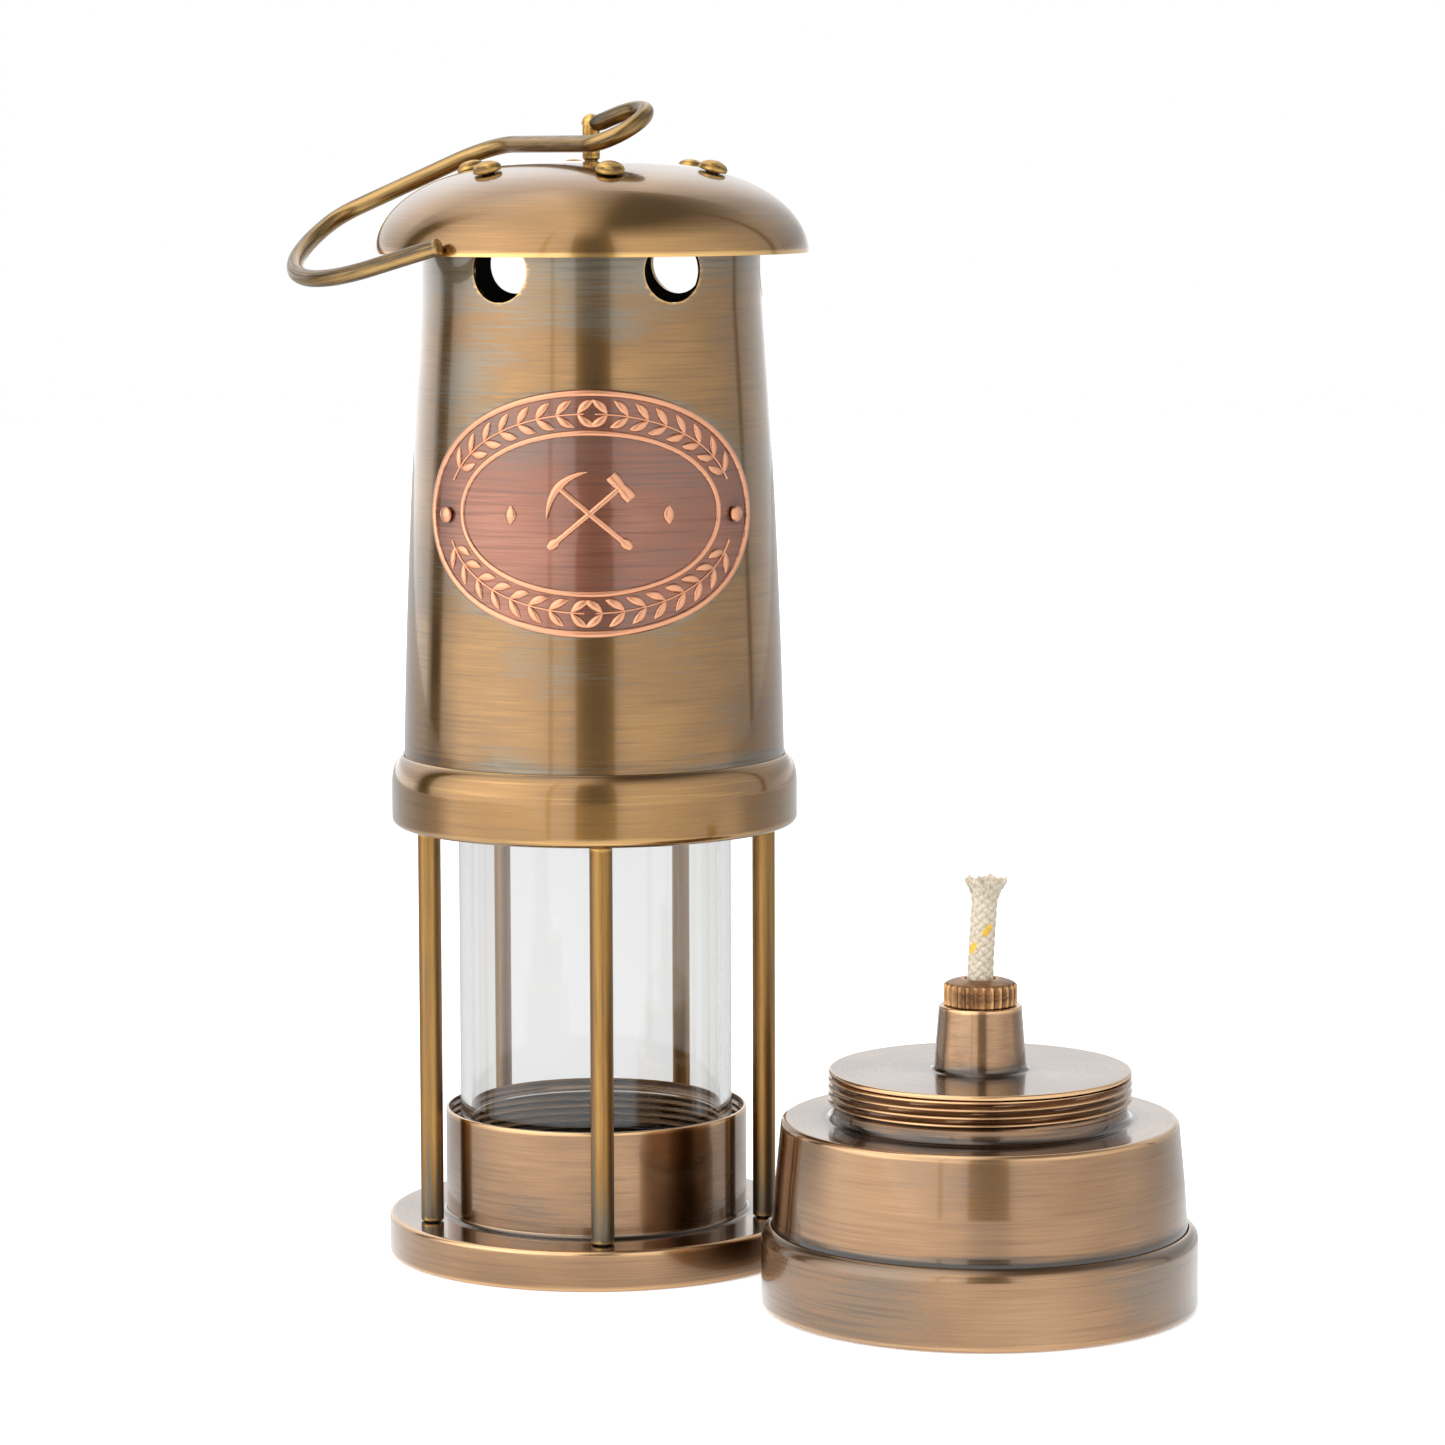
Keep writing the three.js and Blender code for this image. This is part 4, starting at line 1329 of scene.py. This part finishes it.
def braid(turn, z):
    """How far each point of a braided sleeve stands up, from 0 in a crossing's gap to 1."""
    u = STRANDS * turn / (2 * np.pi) + z / BRAID_STEP
    v = STRANDS * turn / (2 * np.pi) - z / BRAID_STEP
    one = np.abs(np.sin(np.pi * u))
    other = np.abs(np.sin(np.pi * v))
    over = (np.floor(u) + np.floor(v)) % 2 == 0
    return np.maximum(one * np.where(over, 1.0, 0.55), other * np.where(over, 0.55, 1.0))


def lean(z):
    """The wick's top leans to the right, in mm."""
    return 1.1 * np.clip((z - 64) / 19.5, 0, 1) ** 1.6


def wick_flare(z):
    """How far the unlaid end of the braid opens out, in mm."""
    return 1.75 * np.clip((z - 79.3) / 4.6, 0, 1) ** 1.7


def wick_sleeve(low, high):
    """The braided sleeve, open at the top like a trumpet, with its inside turned down to a core."""
    sides = 132
    turns = np.linspace(0, 2 * np.pi, sides, endpoint=False)
    ragged = 0.30 * np.sin(5 * turns + 1) + 0.22 * np.sin(11 * turns) + 0.16 * np.sin(23 * turns + 2)
    verts, stand = [], []
    for z in [*np.arange(low, 61, 1.2), *np.arange(61, high, 0.15)]:
        height = braid(turns, np.full(sides, z))
        r = WICK_RADIUS - 0.28 + 0.28 * height + wick_flare(z)
        level = z + ragged * np.clip((z - 80.5) / 3, 0, 1)
        verts.extend(np.stack([r * np.cos(turns) + lean(z), r * np.sin(turns), level], 1))
        stand.extend(height)
    for k in np.linspace(0.0, 1.0, 12):
        z = high + 0.1 - 2.6 * k
        yarn = 0.5 + 0.5 * np.abs(np.sin(turns * 9))
        r = (WICK_RADIUS - 0.1 + wick_flare(high)) * (1 - k) ** 0.7 * (0.94 + 0.06 * yarn) + 0.05
        level = z + ragged * (1 - k) + 0.25 * yarn
        verts.extend(np.stack([r * np.cos(turns) + lean(z), r * np.sin(turns), level], 1))
        # Painted shade: the core is painted darker the deeper it lies inside the mouth.
        stand.extend(yarn * (1 - 0.45 * k))
    return [tuple(v) for v in verts], strips(len(verts) // sides, sides, caps=True), stand


def fray(rng, high):
    """One loose yarn end at the mouth of the sleeve."""
    turn = rng.uniform(0, 2 * math.pi)
    start = rng.uniform(1.0, 2.7)
    spread = (start / 2.7) ** 1.5
    foot = high - rng.uniform(2.4, 3.4)
    top = high + rng.uniform(-0.9, 0.35)
    curl = rng.uniform(-0.3, 0.3)
    line = []
    for t in np.linspace(0, 1, 7):
        z = foot + (top - foot) * t
        r = start + (wick_flare(z) + 0.35 * t) * spread
        angle = turn + curl * t
        line.append((r * math.cos(angle) + lean(z), r * math.sin(angle), z))
    thick = rng.uniform(0.10, 0.2)
    verts, faces, _, _ = sweep(line, [thick] * 6 + [thick * 0.5], 5)
    return verts, faces, rng.uniform(0.5, 1.0)


def wick():
    low = heights("wick")[0]
    high = heights("wick")[1] + 0.2
    verts, faces, stand = wick_sleeve(low, high)
    rng = random.Random(7)
    for _ in range(110):
        yarn, yarn_faces, shade_value = fray(rng, high)
        first = len(verts)
        verts.extend(tuple(v) for v in yarn)
        faces.extend(tuple(first + i for i in face) for face in yarn_faces)
        stand.extend([shade_value] * len(yarn))
    obj = mesh_object("wick_finish", verts, faces)
    co = co_of(obj)
    turn = np.arctan2(co[:, 1], co[:, 0] - lean(co[:, 2]))
    fleck = np.zeros(len(co))
    for degrees, height in FLECKS:
        across = wrapped(turn - math.radians(degrees)) * WICK_RADIUS
        up = co[:, 2] - height
        slant, off = (0.62 * across + 0.78 * up) / 1.35, (0.78 * across - 0.62 * up) / 0.7
        fleck += np.clip(1.6 - (slant**2 + off**2), 0, 1)
    fleck *= np.hypot(co[:, 0] - lean(co[:, 2]), co[:, 1]) > WICK_RADIUS - 0.4
    set_vector(obj, "grain", co * np.array([2.4, 2.4, 1.1]))
    # Painted shade: wear is low, so the cotton is darker, in the gaps between strands and inside the
    # mouth; each loose yarn end has its own random tone.
    set_scalar(obj, "wear_and_painted_light", (np.array(stand) - 0.85) * 1.6)
    set_scalar(obj, "fleck", np.clip(fleck, 0, 1))
    obj.data.transform(ON_FONT)
    shade(obj, 80)
    finish(obj, "wick", [COTTON])


wick()

# ---------------------------------------------------------------- stage, light and camera


def floor():
    """A pale table with painted light: it glows white where the camera sees it and in front of the
    lamp, and reflections and the glass see it darker, as painted shade, behind the lamp and to the
    right.
    """
    mesh = bpy.data.meshes.new("floor")
    wide, front, back = 1.2, -0.6, 3.0
    corners = [(-wide, front, 0), (wide, front, 0), (wide, back, 0), (-wide, back, 0)]
    mesh.from_pydata(corners, [], [(0, 1, 2, 3)])
    obj = bpy.data.objects.new("floor", mesh)
    bpy.context.scene.collection.objects.link(obj)
    s = Shader("pale_floor")
    place = s.node("SeparateXYZ", {0: s.node("NewGeometry").outputs["Position"]}).outputs
    # Painted light: near is 1 in front of the lamp and fades behind it and to the right, as if lit
    # from the front.
    near = s.maths("MULTIPLY", s.ease(place[1], 0.10, -0.05), s.ease(place[0], 0.02, 0.22, 1.0, 0.55))
    path = s.node("LightPath").outputs
    near = s.maths("SUBTRACT", near, path["Transmission Depth"], clamp=True)
    bright = s.maths("MAXIMUM", near, path["Is Camera Ray"])
    far = s.mix(path["Is Transmission Ray"], rgb(0.40, 0.40, 0.40), rgb(0.49, 0.49, 0.49))
    s.set(Base_Color=s.mix(bright, far, rgb(0.86, 0.86, 0.86)), Roughness=0.6)
    # Painted light: where it is painted bright the floor glows, though it is no lamp.
    s.set(Emission_Color=rgb(1.0, 1.0, 1.0), Emission_Strength=s.maths("MULTIPLY", bright, 0.45))
    mesh.materials.append(s.material)


# How bright the studio is by compass angle, in degrees from straight in front of the lamp: two wide
# softboxes with the dark gap between them where the camera stands, and thin dark seams.
STUDIO = [
    (-180, 0.30), (-119, 0.30), (-116, 0.02), (-107, 0.02), (-104, 0.45), (-84, 0.85), (-58, 1.0),
    (-26.2, 0.85), (-25.2, 0.25), (-24.2, 0.25), (-23.2, 0.82), (-10.2, 0.74), (-8.6, 0.10),
    (12.6, 0.085), (14.5, 0.62), (60, 0.50), (100, 0.34), (110, 0.32), (111.5, 0.05), (114, 0.05),
    (116, 0.30), (180, 0.30),
]
STUDIO_STRENGTH = 2.8
BACKDROP = 0.50
BACKDROP_RIGHT = 0.31
TABLE = 0.5
SHELF = 0.72  # a dimmer band across the backdrop, just above the table
SEEN_THROUGH_GLASS = 0.64
CAMERA_PLACE = (-0.0023, -1.0037, 0.22826)
CAMERA_DOWN = math.radians(6.635)
CAMERA_ROLL = math.radians(-0.147)


def studio():
    """The light, by direction. The camera sees plain white, and the glass a plain pale grey."""
    world = bpy.data.worlds.new("studio")
    bpy.context.scene.world = world
    n = Nodes(world)
    x, y, z = n.node("SeparateXYZ", {0: n.node("TexCoord").outputs["Generated"]}).outputs
    compass = n.maths("ARCTAN2", x, n.maths("MULTIPLY", y, -1.0))
    stops = [((degrees + 180) / 360, rgb(level, level, level)) for degrees, level in STUDIO]
    around = n.ramp(n.ease(compass, -math.pi, math.pi), stops)
    overhead = n.ease(x, -0.14, 0.12, 0.76, 0.09)
    front = n.blend(n.ease(z, 0.60, 0.90), around, overhead)
    front = n.blend(n.ease(z, -0.14, -0.24), front, TABLE)
    backdrop = n.ease(x, 0.12, 0.4, BACKDROP, BACKDROP_RIGHT)
    shelf = n.maths("MAXIMUM", n.ease(z, 0.05, 0.12, 1.0, SHELF), n.ease(z, 0.2, 0.5, SHELF, 1.0))
    backdrop = n.maths("MULTIPLY", backdrop, shelf)
    level = n.blend(n.ease(y, 0.51, 0.53), front, backdrop)
    level = n.maths("MULTIPLY", level, STUDIO_STRENGTH)
    path = n.node("LightPath").outputs
    level = n.blend(path["Is Transmission Ray"], level, SEEN_THROUGH_GLASS)
    level = n.blend(path["Is Camera Ray"], level, 1.0)
    background = n.node("Background", {"Color": rgb(1, 1, 1), "Strength": level})
    n.node("OutputWorld", {"Surface": background.outputs[0]})


def softbox(name, place, size, power):
    light = bpy.data.lights.new(name, "AREA")
    light.shape = "RECTANGLE"
    light.size, light.size_y = size
    light.energy = power
    obj = bpy.data.objects.new(name, light)
    bpy.context.scene.collection.objects.link(obj)
    obj.location = place
    aim = Vector((0, 0, 0.1)) - Vector(place)
    obj.rotation_euler = aim.to_track_quat("-Z", "Y").to_euler()
    obj.visible_glossy = False
    obj.visible_camera = False


def camera():
    data = bpy.data.cameras.new("camera")
    data.sensor_width = 36.0
    data.lens = 126.8
    data.clip_start = 0.01
    obj = bpy.data.objects.new("camera", data)
    bpy.context.scene.collection.objects.link(obj)
    look = Matrix.Rotation(math.pi / 2 - CAMERA_DOWN, 4, "X") @ Matrix.Rotation(CAMERA_ROLL, 4, "Z")
    obj.matrix_world = Matrix.Translation(CAMERA_PLACE) @ look
    bpy.context.scene.camera = obj


floor()
studio()
softbox("overhead_softbox", (0.1, -0.1, 1.1), (1.2, 1.0), 6.0)
camera()
bpy.context.scene.view_settings.view_transform = "Standard"
